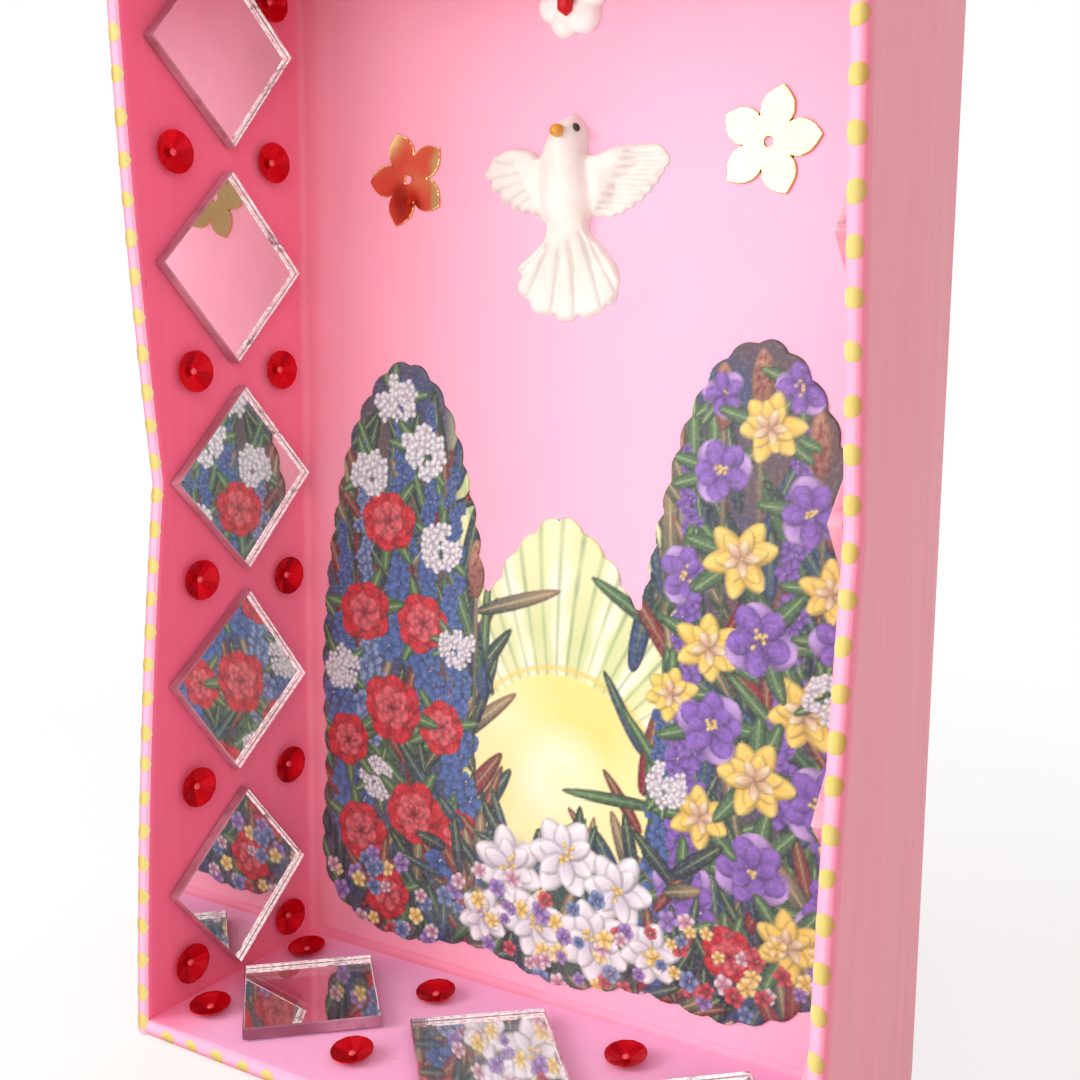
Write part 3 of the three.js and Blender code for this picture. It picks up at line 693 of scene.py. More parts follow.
def dress_sequins():
    rng = np.random.default_rng(SEED + 1)
    foil = mottled("sequin_foil", (260.0, 2.0), "c20014", "de0422", Roughness=0.24, Metallic=0.7,
                   Specular_IOR_Level=0.4)
    steel = mottled("pin_head", (500.0, 2.0), "ee4452", "fa6c74", rough=(0.3, 0.7, 0.2, 0.36), Metallic=0.3,
                    Specular_IOR_Level=0.6)
    cup = turned("cup_sequin", CUP_RINGS, CUP_SIDES, foil, foot=False, top=False, weld=WELD)
    pin = turned("pin_head", PIN_RINGS, PIN_SIDES, steel, top=False, weld=WELD)
    for node in sorted(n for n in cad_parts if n.startswith("sequin_")):
        low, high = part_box(node)
        inward = Vector(WALLS[wall_of(node)][0])
        seat = (low + high) / 2 - inward * abs((high - low).dot(inward)) / 2
        set_sequin(node, seat, cup, pin, rng, node)
    for node in [f"sequin_floor_{row}_{i}" for row in ("rear", "front") for i in range(1, 5)]:
        low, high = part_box(node)
        seat = (low + high) / 2
        seat.z = CEILING_Z - (low.z - FLOOR_Z)
        set_sequin(node.replace("floor", "top"), seat, cup, pin, rng)


# Reliefs: pieces with a flat back whose front is a height over an outline
# Their sizes, here and below, are in MM; a piece's CELL is the step of its grid

RIM_REACH = 2.5                 # how far in from the outline distances to it count


def on_panel(places, out):
    """Points in the box's frame, from MM off the panel's lower left corner and out from it."""
    return np.stack([places[..., 0] * MM - INNER_X, PANEL_Y - SEAT - out * MM,
                     places[..., 1] * MM + FLOOR_Z], -1)


def survey(xs, zs, rings):
    """Which points of a grid lie inside closed outlines, their distance from
    the nearest edge and the place that is nearest on it."""
    grid = np.stack(np.meshgrid(xs, zs, indexing="ij"), 2)
    inside = np.zeros(grid.shape[:2], bool)
    best = np.full(grid.shape[:2], RIM_REACH)
    nearest = grid.copy()
    edges = [edge for ring in rings for edge in zip(ring, np.roll(ring, -1, axis=0))]
    for a, b in edges:
        along = b - a
        near = window((xs, zs), np.minimum(a, b) - RIM_REACH, np.maximum(a, b) + RIM_REACH)
        t = unit(((grid[near] - a) @ along) / max(along @ along, 1e-12))
        foot = a + t[..., None] * along
        gap = np.hypot(*np.moveaxis(grid[near] - foot, 2, 0))
        closer = gap < best[near]
        best[near][closer] = gap[closer]
        nearest[near][closer] = foot[closer]
        crossed = (a[1] > zs) != (b[1] > zs)
        if crossed.any():
            inside[:, crossed] ^= xs[:, None] < a[0] + (zs[crossed] - a[1]) / along[1] * along[0]
    return inside, np.where(inside, best, 0.0), np.where(inside[..., None], grid, nearest)


def relief(name, node, at, rings, height, spacing, material, colours=None):
    """A closed solid on the back panel, which stands for a node. rings are
    closed outlines and holes in MM round the place at, and height(x, z, d)
    gives how far the front stands out, where d is the distance in from the
    nearest edge. colours(xs, zs) gives display colours for its grid, which
    the mesh keeps as the attribute print."""
    rings = [np.asarray(ring, float) for ring in rings]
    points = np.vstack(rings)
    xs, zs = (np.arange(a, b + spacing, spacing)
              for a, b in zip(points.min(0) - spacing, points.max(0) + spacing))
    inside, depth, places = survey(xs, zs, rings)
    i, j = np.nonzero(inside[:-1, :-1] | inside[1:, :-1] | inside[:-1, 1:] | inside[1:, 1:])
    cell = i * len(zs) + j
    quads = np.stack([cell, cell + len(zs), cell + len(zs) + 1, cell + 1], 1)
    rise = np.where(inside, height(places[..., 0], places[..., 1], depth), 0.0).ravel()
    used, quads = np.unique(quads, return_inverse=True)
    quads = quads.reshape(-1, 4)
    places = places.reshape(-1, 2)[used] + at
    points = np.vstack([on_panel(places, rise[used]), on_panel(places, np.zeros(len(used)))])
    number = np.arange(len(used))
    behind = np.where(inside.ravel()[used], number + len(used), number)
    faces = np.vstack([quads, behind[quads][:, ::-1]])
    mesh = new_mesh(name, points.tolist(), faces.tolist(), material)
    if colours:
        front = linear(colours(xs, zs).reshape(-1, 3)[used])
        values = np.ones((len(points), 4))
        values[:, :3] = np.vstack([front, np.full_like(front, 0.9)])
        mesh.attributes.new("print", "FLOAT_COLOR", "POINT").data.foreach_set("color", values.ravel())
    mend(mesh, thin=0.002 * MM, sharp=True)
    add(mesh, node)


def rounded(points, steps=4):
    """A closed Catmull-Rom line through the points."""
    p = np.asarray(points, float)
    before, after, later = np.roll(p, 1, 0), np.roll(p, -1, 0), np.roll(p, -2, 0)
    line = []
    for k in range(steps):
        t = k / steps
        line.append(0.5 * (2 * p + (after - before) * t + (2 * before - 5 * p + 4 * after - later) * t ** 2
                           + (3 * p - before - 3 * after + later) * t ** 3))
    return np.stack(line, 1).reshape(-1, 2)


def soft_max(values, blend):
    """The greatest of several heights, with soft joins of about this size."""
    top = np.maximum.reduce(values)
    total = sum(np.exp((v - top) / blend) for v in values)
    return top + blend * np.log(total) - blend * math.log(len(values))


def rolled(d, reach):
    """The share of the full height near an edge that is rolled over."""
    return np.sqrt(1 - (1 - unit(d / reach)) ** 2)


def beside(x, z, start, end):
    """How far along a line points lie, as a share of it, and how far beside it."""
    along = np.subtract(end, start)
    length = np.hypot(*along)
    t = ((x - start[0]) * along[0] + (z - start[1]) * along[1]) / length ** 2
    return t, ((x - start[0]) * along[1] - (z - start[1]) * along[0]) / length


def groove(x, z, line, width):
    """1 along a line, falling off to its sides and ends."""
    t, side = beside(x, z, *line)
    ends = unit(t / 0.18 + 0.4) * unit((1 - t) / 0.10 + 0.6)
    return np.exp(-(side / width) ** 2) * ends


def egg(x, z, start, end, width, rise):
    t, side = beside(x, z, start, end)
    return rise * np.sqrt(unit(1 - (2 * t - 1) ** 2 - (2 * side / width) ** 2))


# Dove

DOVE_AT = (81.9, 200.2)         # its breast, from the left wall and the floor
DOVE_OUTLINE = [
    (-3.2, 14.7), (-1.8, 15.3), (-0.5, 15.9), (0.6, 16.1), (1.5, 15.5), (2.6, 14.3), (3.5, 12.9),
    (4.0, 11.5), (3.9, 9.3), (4.1, 7.0), (6.3, 6.6), (8.6, 7.2), (10.6, 7.9), (13.0, 8.2), (17.8, 8.0),
    (21.6, 7.7), (23.4, 6.4), (23.9, 5.6), (24.6, 4.6), (24.4, 3.1), (23.4, 2.4), (23.4, 1.5), (22.2, 0.4),
    (21.9, -0.7), (20.5, -1.4), (20.2, -2.6), (18.7, -3.1), (18.1, -4.4), (16.5, -4.6), (15.7, -5.9),
    (14.2, -5.9), (13.2, -7.0), (11.6, -6.9), (10.3, -7.8), (8.9, -7.3), (7.7, -7.5), (5.2, -7.1),
    (4.7, -8.9), (5.0, -10.7), (6.5, -12.5), (8.6, -14.4), (10.3, -16.3), (11.6, -18.1), (12.4, -20.2),
    (12.7, -22.0), (12.2, -23.6), (12.3, -24.9), (11.7, -26.2), (10.5, -27.3), (9.2, -27.2), (8.3, -28.5),
    (6.4, -29.5), (4.5, -30.1), (2.9, -29.9), (1.9, -29.3), (0.9, -30.5), (-1.2, -30.9), (-3.3, -30.5),
    (-4.5, -28.8), (-6.0, -29.4), (-8.6, -29.2), (-10.6, -28.1), (-11.6, -25.6), (-13.4, -24.9),
    (-14.7, -23.2), (-14.6, -21.4), (-13.6, -19.9), (-14.7, -18.8), (-14.1, -17.3), (-11.4, -15.4),
    (-9.4, -13.7), (-7.3, -11.7), (-6.7, -9.8), (-6.7, -8.6), (-8.0, -7.3), (-9.0, -6.0), (-10.6, -6.0),
    (-11.6, -5.1), (-13.4, -5.3), (-14.2, -4.3), (-16.0, -4.7), (-16.7, -3.0), (-18.2, -3.1), (-19.3, -2.0),
    (-19.8, -0.2), (-21.3, -0.2), (-22.4, 1.0), (-22.1, 2.5), (-23.4, 3.0), (-24.3, 4.4), (-23.0, 6.0),
    (-21.8, 7.7), (-20.0, 8.7), (-17.4, 9.6), (-14.3, 9.5), (-11.6, 9.0), (-9.9, 8.0), (-9.0, 7.1),
    (-8.0, 7.6), (-7.4, 8.8), (-6.7, 10.2), (-5.9, 11.6), (-5.2, 12.7), (-4.4, 13.8),
]
# Body from crest to rump: height up the bird, middle, half width, rise
DOVE_BODY = [
    (16.2, 0.2, 0.5, 0.8), (15.0, -0.2, 2.7, 4.0), (13.6, -0.7, 4.0, 5.4), (11.8, -0.9, 4.6, 6.2),
    (10.2, -1.5, 5.2, 6.1), (8.5, -1.9, 5.9, 5.9), (6.4, -2.1, 6.4, 5.9), (4.0, -1.4, 6.9, 6.2),
    (0.0, -0.9, 7.2, 6.5), (-4.0, -0.8, 7.0, 6.2), (-7.0, -0.6, 6.3, 5.4), (-9.0, -0.5, 5.7, 4.6),
    (-11.0, -0.5, 5.4, 4.0), (-14.0, -0.7, 5.4, 3.2), (-18.0, -0.9, 5.0, 2.4), (-23.0, -1.0, 3.0, 1.5),
]
BODY_BLUR = (-1.3, -0.65, 0.0, 0.65, 1.3)  # MM over which the body's rows run together
# Wings: from, to, width, rise
WING_EGGS = [((-3.0, 2.6), (-24.5, 5.4), 15.0, 3.7), ((-2.0, -1.0), (-18.5, -1.6), 11.0, 3.3),
             ((1.0, 3.2), (17.5, 5.8), 9.0, 3.7), ((2.0, -1.4), (11.6, 0.4), 13.0, 3.6)]
TAIL_GROOVES = [
    ((3.4, -11.2), (8.9, -27.4)), ((0.5, -12.9), (1.9, -29.6)), ((-2.6, -14.5), (-4.5, -29.2)),
    ((-5.4, -12.6), (-11.6, -25.9)), ((5.4, -13.0), (12.4, -23.9)), ((-7.2, -13.6), (-13.9, -20.0)),
]
RIGHT_WING_GROOVES = [
    ((14.0, 6.6), (22.8, 6.2)), ((13.6, 5.0), (24.2, 4.4)), ((12.6, 3.0), (23.9, 2.6)),
    ((11.7, 1.3), (22.3, 0.2)), ((10.4, -0.8), (20.3, -2.0)), ((9.2, -2.6), (17.8, -3.9)),
    ((8.0, -4.4), (14.9, -5.7)), ((7.0, -5.6), (11.8, -6.9)),
]
LEFT_WING_GROOVES = [
    ((-13.4, 3.2), (-21.9, 2.5)), ((-12.6, 1.2), (-19.8, -0.2)), ((-11.4, -0.6), (-16.9, -2.9)),
    ((-10.0, -2.2), (-14.2, -4.3)), ((-14.8, 6.2), (-20.4, 7.4)),
]
# Depth and width of each group's cuts, and of the hollow round them
FEATHERS = [(TAIL_GROOVES, 1.0, 0.55, 0.35, 1.3), (RIGHT_WING_GROOVES, 0.75, 0.34, 0.2, 0.9),
            (LEFT_WING_GROOVES, 0.55, 0.5, 0.2, 1.1)]
SHEET_RISE = 2.0
DOVE_RISE = 6.75
DOVE_CELL = 0.22
PEG_SIDES = 20
BEAK_PROFILE = [(0.0, 0.9), (0.12, 1.25), (0.4, 1.45), (0.65, 1.35), (0.85, 1.0), (0.96, 0.55), (1.0, 0.12)]
EYE_PROFILE = [(0.0, 0.1), (0.06, 0.34), (0.22, 0.62), (0.5, 0.78), (0.78, 0.66), (0.94, 0.38), (1.0, 0.1)]


def white_resin(name, low, high):
    return mottled(name, (140.0, 4.0), low, high, span=(0.3, 0.75), dents=((700.0, 3.0), 0.12, 0.08 * MM),
                   Roughness=0.32, Subsurface_Weight=0.12, Subsurface_Scale=0.002, Specular_IOR_Level=0.45)


def enamel(name, low, high):
    return mottled(name, (600.0, 3.0), low, high, span=(0.35, 0.7), dents=((600.0, 3.0), 0.2, 0.05 * MM),
                   Roughness=0.3, Coat_Weight=0.4, Coat_Roughness=0.1)


def dove_height(x, z, d):
    """A sheet from which body, wings and tail swell, cut by the feathers' grooves."""
    sheet = SHEET_RISE * rolled(d, 1.7)
    up, middle, half, rise = np.array(DOVE_BODY[::-1]).T
    m, w, r = (sum(np.interp(z + step, up, column) for step in BODY_BLUR) / len(BODY_BLUR)
               for column in (middle, half, rise))
    body = r * np.sqrt(unit(1 - ((x - m) / w) ** 2))
    wings = [egg(x, z, *form) for form in WING_EGGS]
    tail_rise = 1.0 + 1.6 * unit((z + 30) / 20)
    tail = np.where(z < -8, np.minimum(sheet / SHEET_RISE * tail_rise * 1.35, 3.2), 0)
    form = soft_max([sheet, body, tail, *wings], 0.6)
    for lines, depth, width, hollow, reach in FEATHERS:
        for line in lines:
            form -= depth * groove(x, z, line, width) + hollow * groove(x, z, line, reach)
    return np.clip(form, 0.5, DOVE_RISE) * rolled(d, 1.2)


def peg(name, profile, start, end, material):
    """A turned piece of the dove: profile is (share of the length, radius) from
    start to end, each (across, height, out) from its breast."""
    foot, head = (on_panel(np.add(DOVE_AT, p[:2]), p[2]) for p in (start, end))
    axis = head - foot
    side = np.cross(axis, (0.3, 0.2, 0.9))
    side *= MM / np.linalg.norm(side)
    axes = (side, np.cross(axis, side) / np.linalg.norm(axis), axis)
    rings = [(radius, share, 0) for share, radius in profile]
    add(turned(name, rings, PEG_SIDES, material, at=foot, axes=axes))


def make_dove():
    relief("dove_relief", "dove", DOVE_AT, [rounded(DOVE_OUTLINE)], dove_height, DOVE_CELL,
           white_resin("white_resin", "e6e0d7", "f3eee6"))
    peg("dove_beak", BEAK_PROFILE, (0.2, 11.7, 5.3), (-2.8, 11.7, 6.1),
        enamel("beak_enamel", "cf8a1c", "e2a83a"))
    peg("dove_eye", EYE_PROFILE, (2.2, 13.2, 3.8), (3.2, 11.6, 3.0),
        enamel("eye_enamel", "140d10", "261a1e"))


# Foil flowers

FOIL_RADIUS = 11.85
FOIL_HOLE = 1.05
FOIL_CELL = 0.16
# One half petal from its notch to its tip: share of the radius, share of the pitch
FOIL_PETAL = [
    (0.49, -0.5), (0.56, -0.475), (0.66, -0.415), (0.76, -0.325), (0.84, -0.235), (0.92, -0.115),
    (0.985, -0.02),
]
FOIL_FLOWERS = {"foil_flower_left": ((34.9, 204.9), 35.0), "foil_flower_right": ((129.5, 206.1), 3.0)}


def foil_outline(turn):
    """Five pointed petals, each the same to either side of its tip."""
    half = FOIL_PETAL + [(1.0, 0.0)] + [(r, -s) for r, s in reversed(FOIL_PETAL[1:])]
    return rounded([polar(math.radians(turn) + 2 * math.pi * (petal + step) / 5, FOIL_RADIUS * share)
                    for petal in range(5) for share, step in half], 3)


def make_foil_flowers():
    foil = mottled("gold_foil", (90.0, 3.0), "e0ac6c", "e9bd84", rough=(0.3, 0.8, 0.06, 0.14),
                   dents=((150.0, 1.0), 0.10, 0.3 * MM), Metallic=1.0)
    hole = [polar(a, FOIL_HOLE) for a in np.linspace(0, -2 * math.pi, 25)[:-1]]
    for node, (at, turn) in FOIL_FLOWERS.items():
        def height(x, z, d, turn=turn):
            petal = np.cos(5 * (np.arctan2(z, x) - math.radians(turn)))
            dish = unit(np.hypot(x, z) / FOIL_RADIUS - 0.40) ** 2
            return 0.36 + 0.10 * rolled(d, 0.12) + 0.15 * dish * (0.6 + 0.4 * petal)
        relief(f"sheet_{node}", node, at, [foil_outline(turn), hole], height, FOIL_CELL, foil)


# White flower and its bead

BLOOM_AT = (81.4, 241.4)
BLOOM_TURN = 10.0
PETAL_OUT = 4.9
PETAL_RADIUS = 3.8
PETAL_PLUMP = (1.08, 1.0, 1.0, 1.0, 0.98, 1.1)  # from the right petal on, to the left round
PETAL_TURNS = [math.radians(BLOOM_TURN + 60 * k) for k in range(6)]
PETALS = [(*polar(a, PETAL_OUT), PETAL_RADIUS * plump) for a, plump in zip(PETAL_TURNS, PETAL_PLUMP)]
BLOOM_RISE = 3.35
BLOOM_CELL = 0.14
BLOOM_STEPS = 120
# The bead's section, and its rings: size of the section, share of its rise
BEAD_CORNERS = [
    (-0.4, -4.1), (1.1, -3.0), (1.1, 0.0), (1.1, 3.0), (-0.4, 4.1), (-1.95, 3.0), (-1.95, 0.0),
    (-1.95, -3.0),
]
BEAD_RINGS = [(1.0, 0.0), (1.0, 0.55), (0.86, 0.9), (0.5, 1.0)]
BEAD_FOOT = 1.75
BEAD_RISE = 2.7


def bloom_outline():
    """The outermost line of the petals' circles, seen from the middle."""
    points = []
    for k in range(BLOOM_STEPS):
        angle = 2 * math.pi * k / BLOOM_STEPS
        reach = 0
        for px, pz, radius in PETALS:
            delta = angle - math.atan2(pz, px)
            out = math.hypot(px, pz)
            inner = radius ** 2 - (out * math.sin(delta)) ** 2
            if inner > 0:
                reach = max(reach, out * math.cos(delta) + math.sqrt(inner))
        points.append(polar(angle, reach))
    return points


def bloom_height(x, z, d):
    """Six plump petals, each with a dimple, round a flat middle."""
    forms = [1.9 * np.ones_like(x)]
    for px, pz, radius in PETALS:
        far = np.hypot(x - px, z - pz) / (radius * 1.04)
        inward = ((x - px) * px + (z - pz) * pz) / np.hypot(px, pz) / radius
        dimple = 0.55 * np.exp(-((inward + 0.1) / 0.45) ** 2 - (far * 1.3) ** 2)
        forms.append(3.3 * np.sqrt(unit(1 - far ** 2)) - dimple)
    return np.clip(soft_max(forms, 0.22), 0.4, BLOOM_RISE) * rolled(d, 1.1)


def make_bloom():
    # The flower's resin is a lighter copy of the dove's: painted light that offsets the top board's shade
    relief("cast_flower", "white_flower", BLOOM_AT, [bloom_outline()], bloom_height, BLOOM_CELL,
           white_resin("flower_resin_painted_lighter", "faf6ef", "fffdf8"))
    red = mottled("red_glass_bead", (300.0, 2.0), "bc040c", "de0f18", Roughness=0.3, Coat_Weight=0.04,
                  Coat_Roughness=0.05, Specular_IOR_Level=0.2)
    vertices = []
    for size, rise in BEAD_RINGS:
        for x, z in BEAD_CORNERS:
            place = np.add(BLOOM_AT, (x * size, z * (1 - (1 - size) * 0.55)))
            vertices.append(on_panel(place, BEAD_FOOT + BEAD_RISE * rise))
    faces = ring_faces(len(BEAD_RINGS), len(BEAD_CORNERS))
    add(new_mesh("cut_bead", vertices, faces, red, smooth=False), "flower_bead")


# Printed paper cut-out: a garden border of the builder's own drawing

PAPER_CELL = 0.4
PAPER_FACE = 0.50               # how far its face stands off the panel
PAPER_SCALLOP = 1.1
PAPER_SCALLOPS = 84
SCALLOP_STEPS = 12
# As in the model, from the left wall and the floor
PAPER_OUTLINE = [
    (5, 22), (6, 50), (5.5, 80), (9, 112), (16, 140), (27, 157), (38, 158.5), (48, 146), (55, 122),
    (59, 103), (67, 114), (80, 123), (93, 114), (101, 103), (106, 124), (112, 146), (121, 161), (133, 164),
    (144, 152), (152, 128), (156, 98), (157, 68), (155, 40), (148, 19), (128, 8), (104, 9), (80, 5),
    (56, 9), (34, 5.5), (15, 9),
]
SUN_AT = (80, 58)
SUN_RADIUS = 27

INK = {name: display(code) for name, code in {
    "night": "232c44", "navy": "2c4379", "blue": "4d72b4", "sky": "9db6dc", "red": "d5222b", "wine": "7d1825",
    "rose": "f0646a", "plum": "5c3f8f", "violet": "8b62c4", "lilac": "c7a6e2", "gold": "e3ad3a",
    "yellow": "f8dc72", "cream": "fdf3c0", "white": "fdfbfa", "grey": "bfb9c8", "brown": "7a4a3a",
    "tan": "b98a6a", "leaf": "4f7a4c", "moss": "2f4a38", "lime": "b9cf85", "mauve": "b0607e",
}.items()}
LEAF_INKS = [("night", "moss"), ("moss", "leaf"), ("navy", "moss"), ("wine", "brown"), ("moss", "tan")]
SMALL_INKS = [("navy", "sky"), ("mauve", "white"), ("wine", "rose"), ("plum", "lilac"), ("gold", "cream")]
# Spikes and reeds from foot to top, and heads by their place and radius
BLUE_SPIKES = [
    ((14, 30), (13, 118), 4.4), ((50, 24), (49, 134), 4.2), ((31, 84), (33, 156), 4.0),
    ((22, 60), (20, 140), 3.2), ((40, 70), (42, 150), 3.4), ((108, 14), (108, 88), 3.6),
]
VIOLET_SPIKES = [((114, 30), (113, 142), 4.0), ((150, 24), (150, 132), 4.2), ((137, 60), (139, 150), 3.6)]
REEDS = [((122, 90), (121, 160)), ((130, 96), (130, 163)), ((146, 92), (143, 150)), ((55, 60), (56, 116))]
HEADS = {
    "rose": [(28, 119, 8.5), (20, 94, 8.5), (39, 93, 8.0), (29, 69, 9.5), (45, 66, 7.5), (14, 58, 7.5),
             (36, 41, 9.0), (18, 33, 8.5), (50, 38, 7.0), (27, 17, 7.5), (126, 24, 7.0)],
    "snow": [(39, 137, 7.0), (22, 131, 6.5), (31, 150, 6.5), (45, 113, 6.5), (12, 78, 6.0), (50, 88, 5.5),
             (24, 49, 6.0), (147, 88, 5.5), (109, 62, 5.5)],
    "iris": [(121, 136, 8.0), (142, 128, 8.0), (139, 155, 6.5), (121, 153, 5.5), (113, 112, 7.5),
             (131, 99, 9.5), (150, 100, 7.5), (120, 78, 9.0), (146, 64, 9.0), (131, 46, 9.5),
             (149, 36, 8.0), (114, 38, 8.0)],
    "lily": [(132, 146, 8.0), (126, 117, 9.0), (147, 111, 7.5), (119, 96, 8.5), (142, 84, 9.5),
             (110, 84, 7.0), (131, 67, 9.5), (153, 52, 7.0), (118, 56, 8.0), (140, 30, 8.5)],
}
# Leaves stand at each foot of the two borders, and lie on the low ground
BORDER_FEET = (*range(6, 60, 3), *range(102, 158, 3))
FOOT_LEAVES = 9
LOW_LEAVES = 90
SMALL_FLOWERS = 120
WHITE_LILIES = [
    (66, 33, 10.5), (82, 39, 11.0), (97, 33, 10.0), (74, 20, 10.0), (90, 19, 10.5), (58, 18, 8.0),
    (106, 20, 8.5),
]
# Each head's layers: share of its radius, petals, inks, plumpness, rings, widest place, heart
LAYERS = {
    "rose": [(1.0, 7, "wine", "red", 0.95, 2), (0.62, 6, "wine", "rose", 0.9, 3)],
    "snow": [],
    "iris": [(1.0, 3, "plum", "lilac", 0.95), (0.9, 5, "plum", "violet", 0.7, 2, 0.6, "gold")],
    "lily": [(1.0, 6, "gold", "yellow", 0.62, 2, 0.45, "brown"),
             (0.5, 5, "tan", "cream", 0.6, 1, 0.5, "gold")],
}


def cloudy(rng, shape, cells):
    """Smooth random values from 0 to 1, about this many swells each way."""
    coarse, knots = rng.random((cells + 2, cells + 2)), np.arange(cells + 2)
    rows, columns = (np.linspace(0, cells, count) for count in shape)
    across = np.array([np.interp(rows, knots, c) for c in coarse.T]).T
    return np.array([np.interp(columns, knots, r) for r in across])


def from_to(foot, top):
    """The length and angle of a line."""
    return math.hypot(top[0] - foot[0], top[1] - foot[1]), math.atan2(top[1] - foot[1], top[0] - foot[0])


class Painting:
    """Brush work on a grid of colour points, in display colours."""

    def __init__(self, xs, zs, rng):
        self.axes, self.rng = (xs, zs), rng
        self.x, self.z = np.meshgrid(xs, zs, indexing="ij")
        self.rgb = np.zeros((*self.x.shape, 3))

    def lay(self, where, mask, colour):
        part = self.rgb[where]
        self.rgb[where] = part + (colour - part) * mask[..., None]

    def wash(self, mask, low, high, cells):
        tone = cloudy(self.rng, self.x.shape, cells)[..., None]
        self.lay(np.s_[:, :], mask, INK[low] + (INK[high] - INK[low]) * tone)

    def petal(self, at, angle, length, width, root, tip, widest=0.55, shade=0.3):
        """A stroke from its root to its tip: darker along its rim, lit from one
        side and finely veined."""
        where = window(self.axes, np.subtract(at, length + 1), np.add(at, length + 1))
        x, z = self.x[where] - at[0], self.z[where] - at[1]
        c, s = math.cos(angle), math.sin(angle)
        u, v = (x * c + z * s) / length, z * c - x * s
        inner = unit(u)
        bulge = np.sin(math.pi * inner ** (math.log(0.5) / math.log(widest)))
        half = width / 2 * np.sqrt(unit(bulge))
        mask = unit((half - abs(v)) / PAPER_CELL + 0.5) * (u > 0) * (u < 1)
        root, tip = INK[root], INK[tip]
        colour = root + (tip - root) * (inner ** 1.2)[..., None]
        rim = unit(1 - (half - abs(v)) / (0.16 * width + 0.3))
        lit = np.clip(v / (half + 0.1), -1, 1) * (0.8 * c + 0.5 * s)
        vein = 0.05 * np.sin(v / width * 22) * (1 - inner)
        tone = 1 - shade * rim + 0.13 * lit + vein
        self.lay(where, mask, unit(colour * tone[..., None]))

    def flower(self, at, radius, petals, root, tip, plump, rings=1, widest=0.6, heart=None):
        for ring in range(rings):
            reach = radius * (1 - 0.26 * ring)
            spin = self.rng.uniform(0, FULL_TURN)
            for k in range(petals):
                angle = spin + 2 * math.pi * k / petals + self.rng.normal(0, 0.09)
                self.petal(at, angle, reach * self.rng.uniform(0.9, 1.06), reach * plump, root, tip, widest)
        for k in range((7 if radius > 5 else 2) * bool(heart)):
            spot = at + self.rng.normal(0, radius * 0.09, 2)
            self.petal(spot, k, radius * 0.16, radius * 0.13, heart, "cream")

    def leaf(self, at, angle, length, width, root="moss", tip="leaf"):
        self.petal(at, angle, length, width, root, tip, widest=0.42, shade=0.45)
        self.petal(at, angle, length * 0.93, 0.55, tip, "lime", widest=0.4, shade=0.1)

    def any_leaf(self, *place):
        self.leaf(*place, *LEAF_INKS[self.rng.integers(len(LEAF_INKS))])

    def spike(self, foot, top, size, root, tip):
        """A tall flower spike of many small florets, the smallest at its tip."""
        rise, angle = from_to(foot, top)
        self.petal(foot, angle, rise, 1.6, "moss", "leaf", widest=0.3)
        count = int(rise / 1.35)
        for k in range(count):
            t = k / count
            spread = self.rng.normal(0, size * 0.62 * (1 - 0.75 * t))
            at = (foot[0] + (top[0] - foot[0]) * t + spread, foot[1] + (top[1] - foot[1]) * t)
            radius = size * (1 - 0.62 * t) * self.rng.uniform(0.8, 1.15)
            self.flower(at, radius, 5, root, tip, 0.85, heart="white")

    def reed(self, foot, top, length=15):
        rise, angle = from_to(foot, top)
        self.petal(foot, angle, rise, 1.3, "moss", "tan", widest=0.5)
        at = polar(angle, -length, top)
        self.petal(at, angle, length, 5.2, "brown", "tan", widest=0.5)
        for _ in range(26):
            spot = polar(angle, self.rng.uniform(0.12, 0.85) * length, at, self.rng.normal(0, 0.9))
            self.petal(spot, angle + self.rng.normal(0, 0.3), 1.7, 0.6, "wine", "tan")

    def head(self, at, radius, kind):
        for _ in range(3):
            self.leaf(at, self.rng.uniform(0, FULL_TURN), radius * 1.6, radius * 0.5)
        for share, *look in LAYERS[kind]:
            self.flower(at, radius * share, *look)
        for _ in range(int(radius * 5) * (kind == "snow")):
            spread = radius * math.sqrt(self.rng.random()) * 0.85
            spot = polar(self.rng.uniform(0, FULL_TURN), spread, at)
            self.flower(spot, radius * 0.30, 4, "grey", "white", 0.9, heart="lime")


def paint_sky(art):
    """The ground, with a half sun and its rays."""
    east, north = art.x - SUN_AT[0], art.z - SUN_AT[1]
    away, bearing = np.hypot(east, north), np.arctan2(north, east)
    sky = unit((34 - abs(east)) / 6) * unit((art.z - 34) / 10)
    rays = unit(np.sin(bearing * 21) * 1.3 + 0.3 * np.sin(away * 0.5 + bearing * 9))
    thin = unit(np.sin(bearing * 63 + away * 0.06)) ** 3
    disc = unit(SUN_RADIUS - away) * sky
    for layer in [(np.ones(sky.shape), "night", "moss", 22),
                  (unit((abs(east) - 22) / 8) * 0.75, "navy", "brown", 14),
                  (sky, "lime", "cream", 9),
                  (sky * rays * np.clip((74 - away) / 30, 0, 0.85), "cream", "white", 30),
                  (sky * thin * 0.55, "leaf", "lime", 30),
                  (disc, "yellow", "cream", 12),
                  (disc * np.clip((16 - away) / 12, 0, 0.8), "cream", "white", 12),
                  (sky * unit(1 - abs(away - SUN_RADIUS - 1.2) / 1.1) * 0.8, "gold", "yellow", 12)]:
        art.wash(*layer)


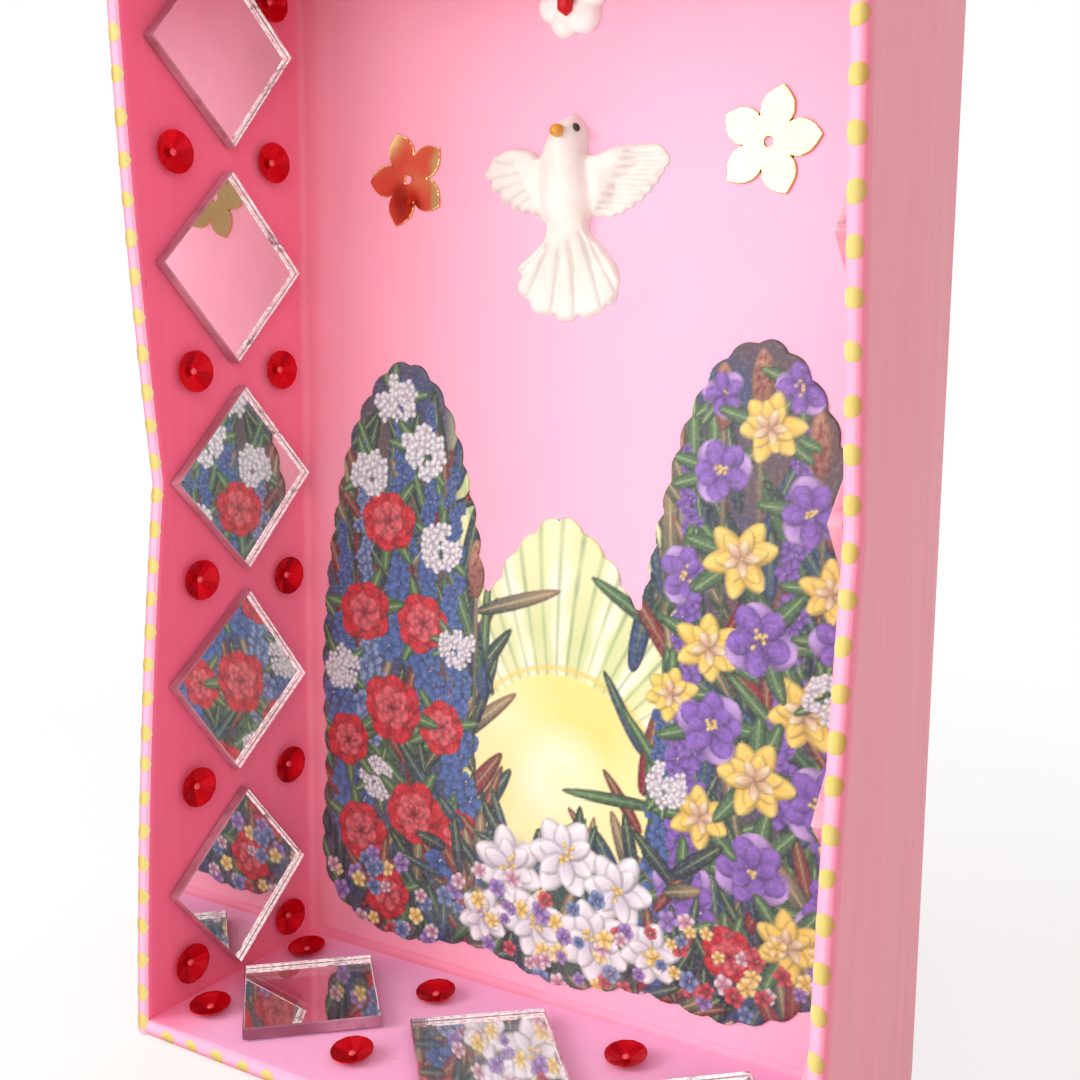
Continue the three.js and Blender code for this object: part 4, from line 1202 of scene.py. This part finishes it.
def paint_print(xs, zs):
    """A half sun behind a bank of lilies, between two tall flower borders."""
    rng = np.random.default_rng(SEED + 5)
    art = Painting(xs, zs, rng)
    paint_sky(art)
    for foot in BORDER_FEET:
        for _ in range(FOOT_LEAVES):
            height = rng.uniform(2, 128)
            art.any_leaf((foot + rng.normal(0, 2), height), math.pi / 2 + rng.normal(0, 0.5),
                         rng.uniform(16, 34), rng.uniform(2.6, 5.2))
    for foot, top, size in BLUE_SPIKES:
        art.spike(foot, top, size, "navy", "blue" if size > 3.3 else "sky")
    for line in REEDS:
        art.reed(*line)
    for spike in VIOLET_SPIKES:
        art.spike(*spike, "plum", "violet")
    heads = [(*head, kind) for kind, places in HEADS.items() for head in places]
    for index in rng.permutation(len(heads)):
        x, z, radius, kind = heads[index]
        art.head((x, z), radius, kind)
    for _ in range(LOW_LEAVES):
        art.any_leaf((rng.uniform(44, 116), rng.uniform(3, 40)), rng.uniform(0.2, 2.9),
                     rng.uniform(9, 19), rng.uniform(2.5, 4.5))
    for x, z, radius in WHITE_LILIES:
        art.flower((x, z), radius, 6, "grey", "white", 0.66, rings=2, widest=0.5, heart="gold")
    for _ in range(SMALL_FLOWERS):
        at = (rng.uniform(7, 153), rng.uniform(5, 30))
        inks = SMALL_INKS[rng.integers(len(SMALL_INKS))]
        art.flower(at, rng.uniform(1.6, 3.0), 5, *inks, 0.85, heart="yellow")
    art.lay(np.s_[:, :], 0.05 + 0.10 * cloudy(rng, art.x.shape, 5), np.array([0.98, 0.90, 0.93]))
    return art.rgb


def printed_paper():
    """The paint's colours under thin varnish, with the paper's fine tooth."""
    shader = Shader("printed_paper", Specular_IOR_Level=0.45)
    ink = shader.new("Attribute", attribute_name="print").outputs["Color"]
    tooth, worn = shader.noise(900.0, 2.0), shader.noise(28.0, 3.0)
    ink = shader.tint(ink, ("fff6f2", tooth, 0.45, 0.8, 0.10), ("e8d9d2", worn, 0.62, 0.8, 0.12))
    shader.look(Base_Color=ink, Roughness=shader.remap(worn, 0.3, 0.7, 0.34, 0.5))
    shader.bump(tooth, 0.15, 0.04 * MM)
    return shader.material


def scalloped(points):
    """The outline with scissor-cut scallops, at even steps."""
    line = rounded(points, 24)
    steps = np.hypot(*(np.roll(line, -1, 0) - line).T)
    run = np.concatenate([[0], np.cumsum(steps)])
    closed = np.vstack([line, line[:1]])
    count = PAPER_SCALLOPS * SCALLOP_STEPS
    at = np.arange(count) / count * run[-1]
    even = np.stack([np.interp(at, run, closed[:, k]) for k in (0, 1)], 1)
    along = np.roll(even, -1, 0) - np.roll(even, 1, 0)
    along /= np.hypot(*along.T)[:, None]
    swell = PAPER_SCALLOP * (np.abs(np.sin(math.pi * np.arange(count) / SCALLOP_STEPS)) - 0.5)
    return even + np.stack([-along[:, 1], along[:, 0]], 1) * swell[:, None]


def paper_height(x, z, d):
    """Card glued flat, a little lower where the glue drew it in, with a cut edge."""
    drawn_in = 0.03 * np.sin(x / 9 + 1.3 * np.sin(z / 21)) + 0.03 * np.sin(z / 13 + x / 31)
    return PAPER_FACE + drawn_in - 0.12 * np.clip(1 - d / 0.5, 0, 1) ** 2


def make_paper():
    relief("paper_cut_out", "paper_print", (0, 0), [scalloped(PAPER_OUTLINE)], paper_height, PAPER_CELL,
           printed_paper(), colours=paint_print)


add_camera()
add_world()
for lamp_name, lamp in LAMPS.items():
    add_lamp(lamp_name, *lamp)
add_table()
paint_boards()
fill_corners()
paint_dashes(dash_paint())
dress_tiles()
dress_sequins()
make_dove()
make_foil_flowers()
make_bloom()
make_paper()

bpy.context.scene.view_settings.view_transform = "Standard"
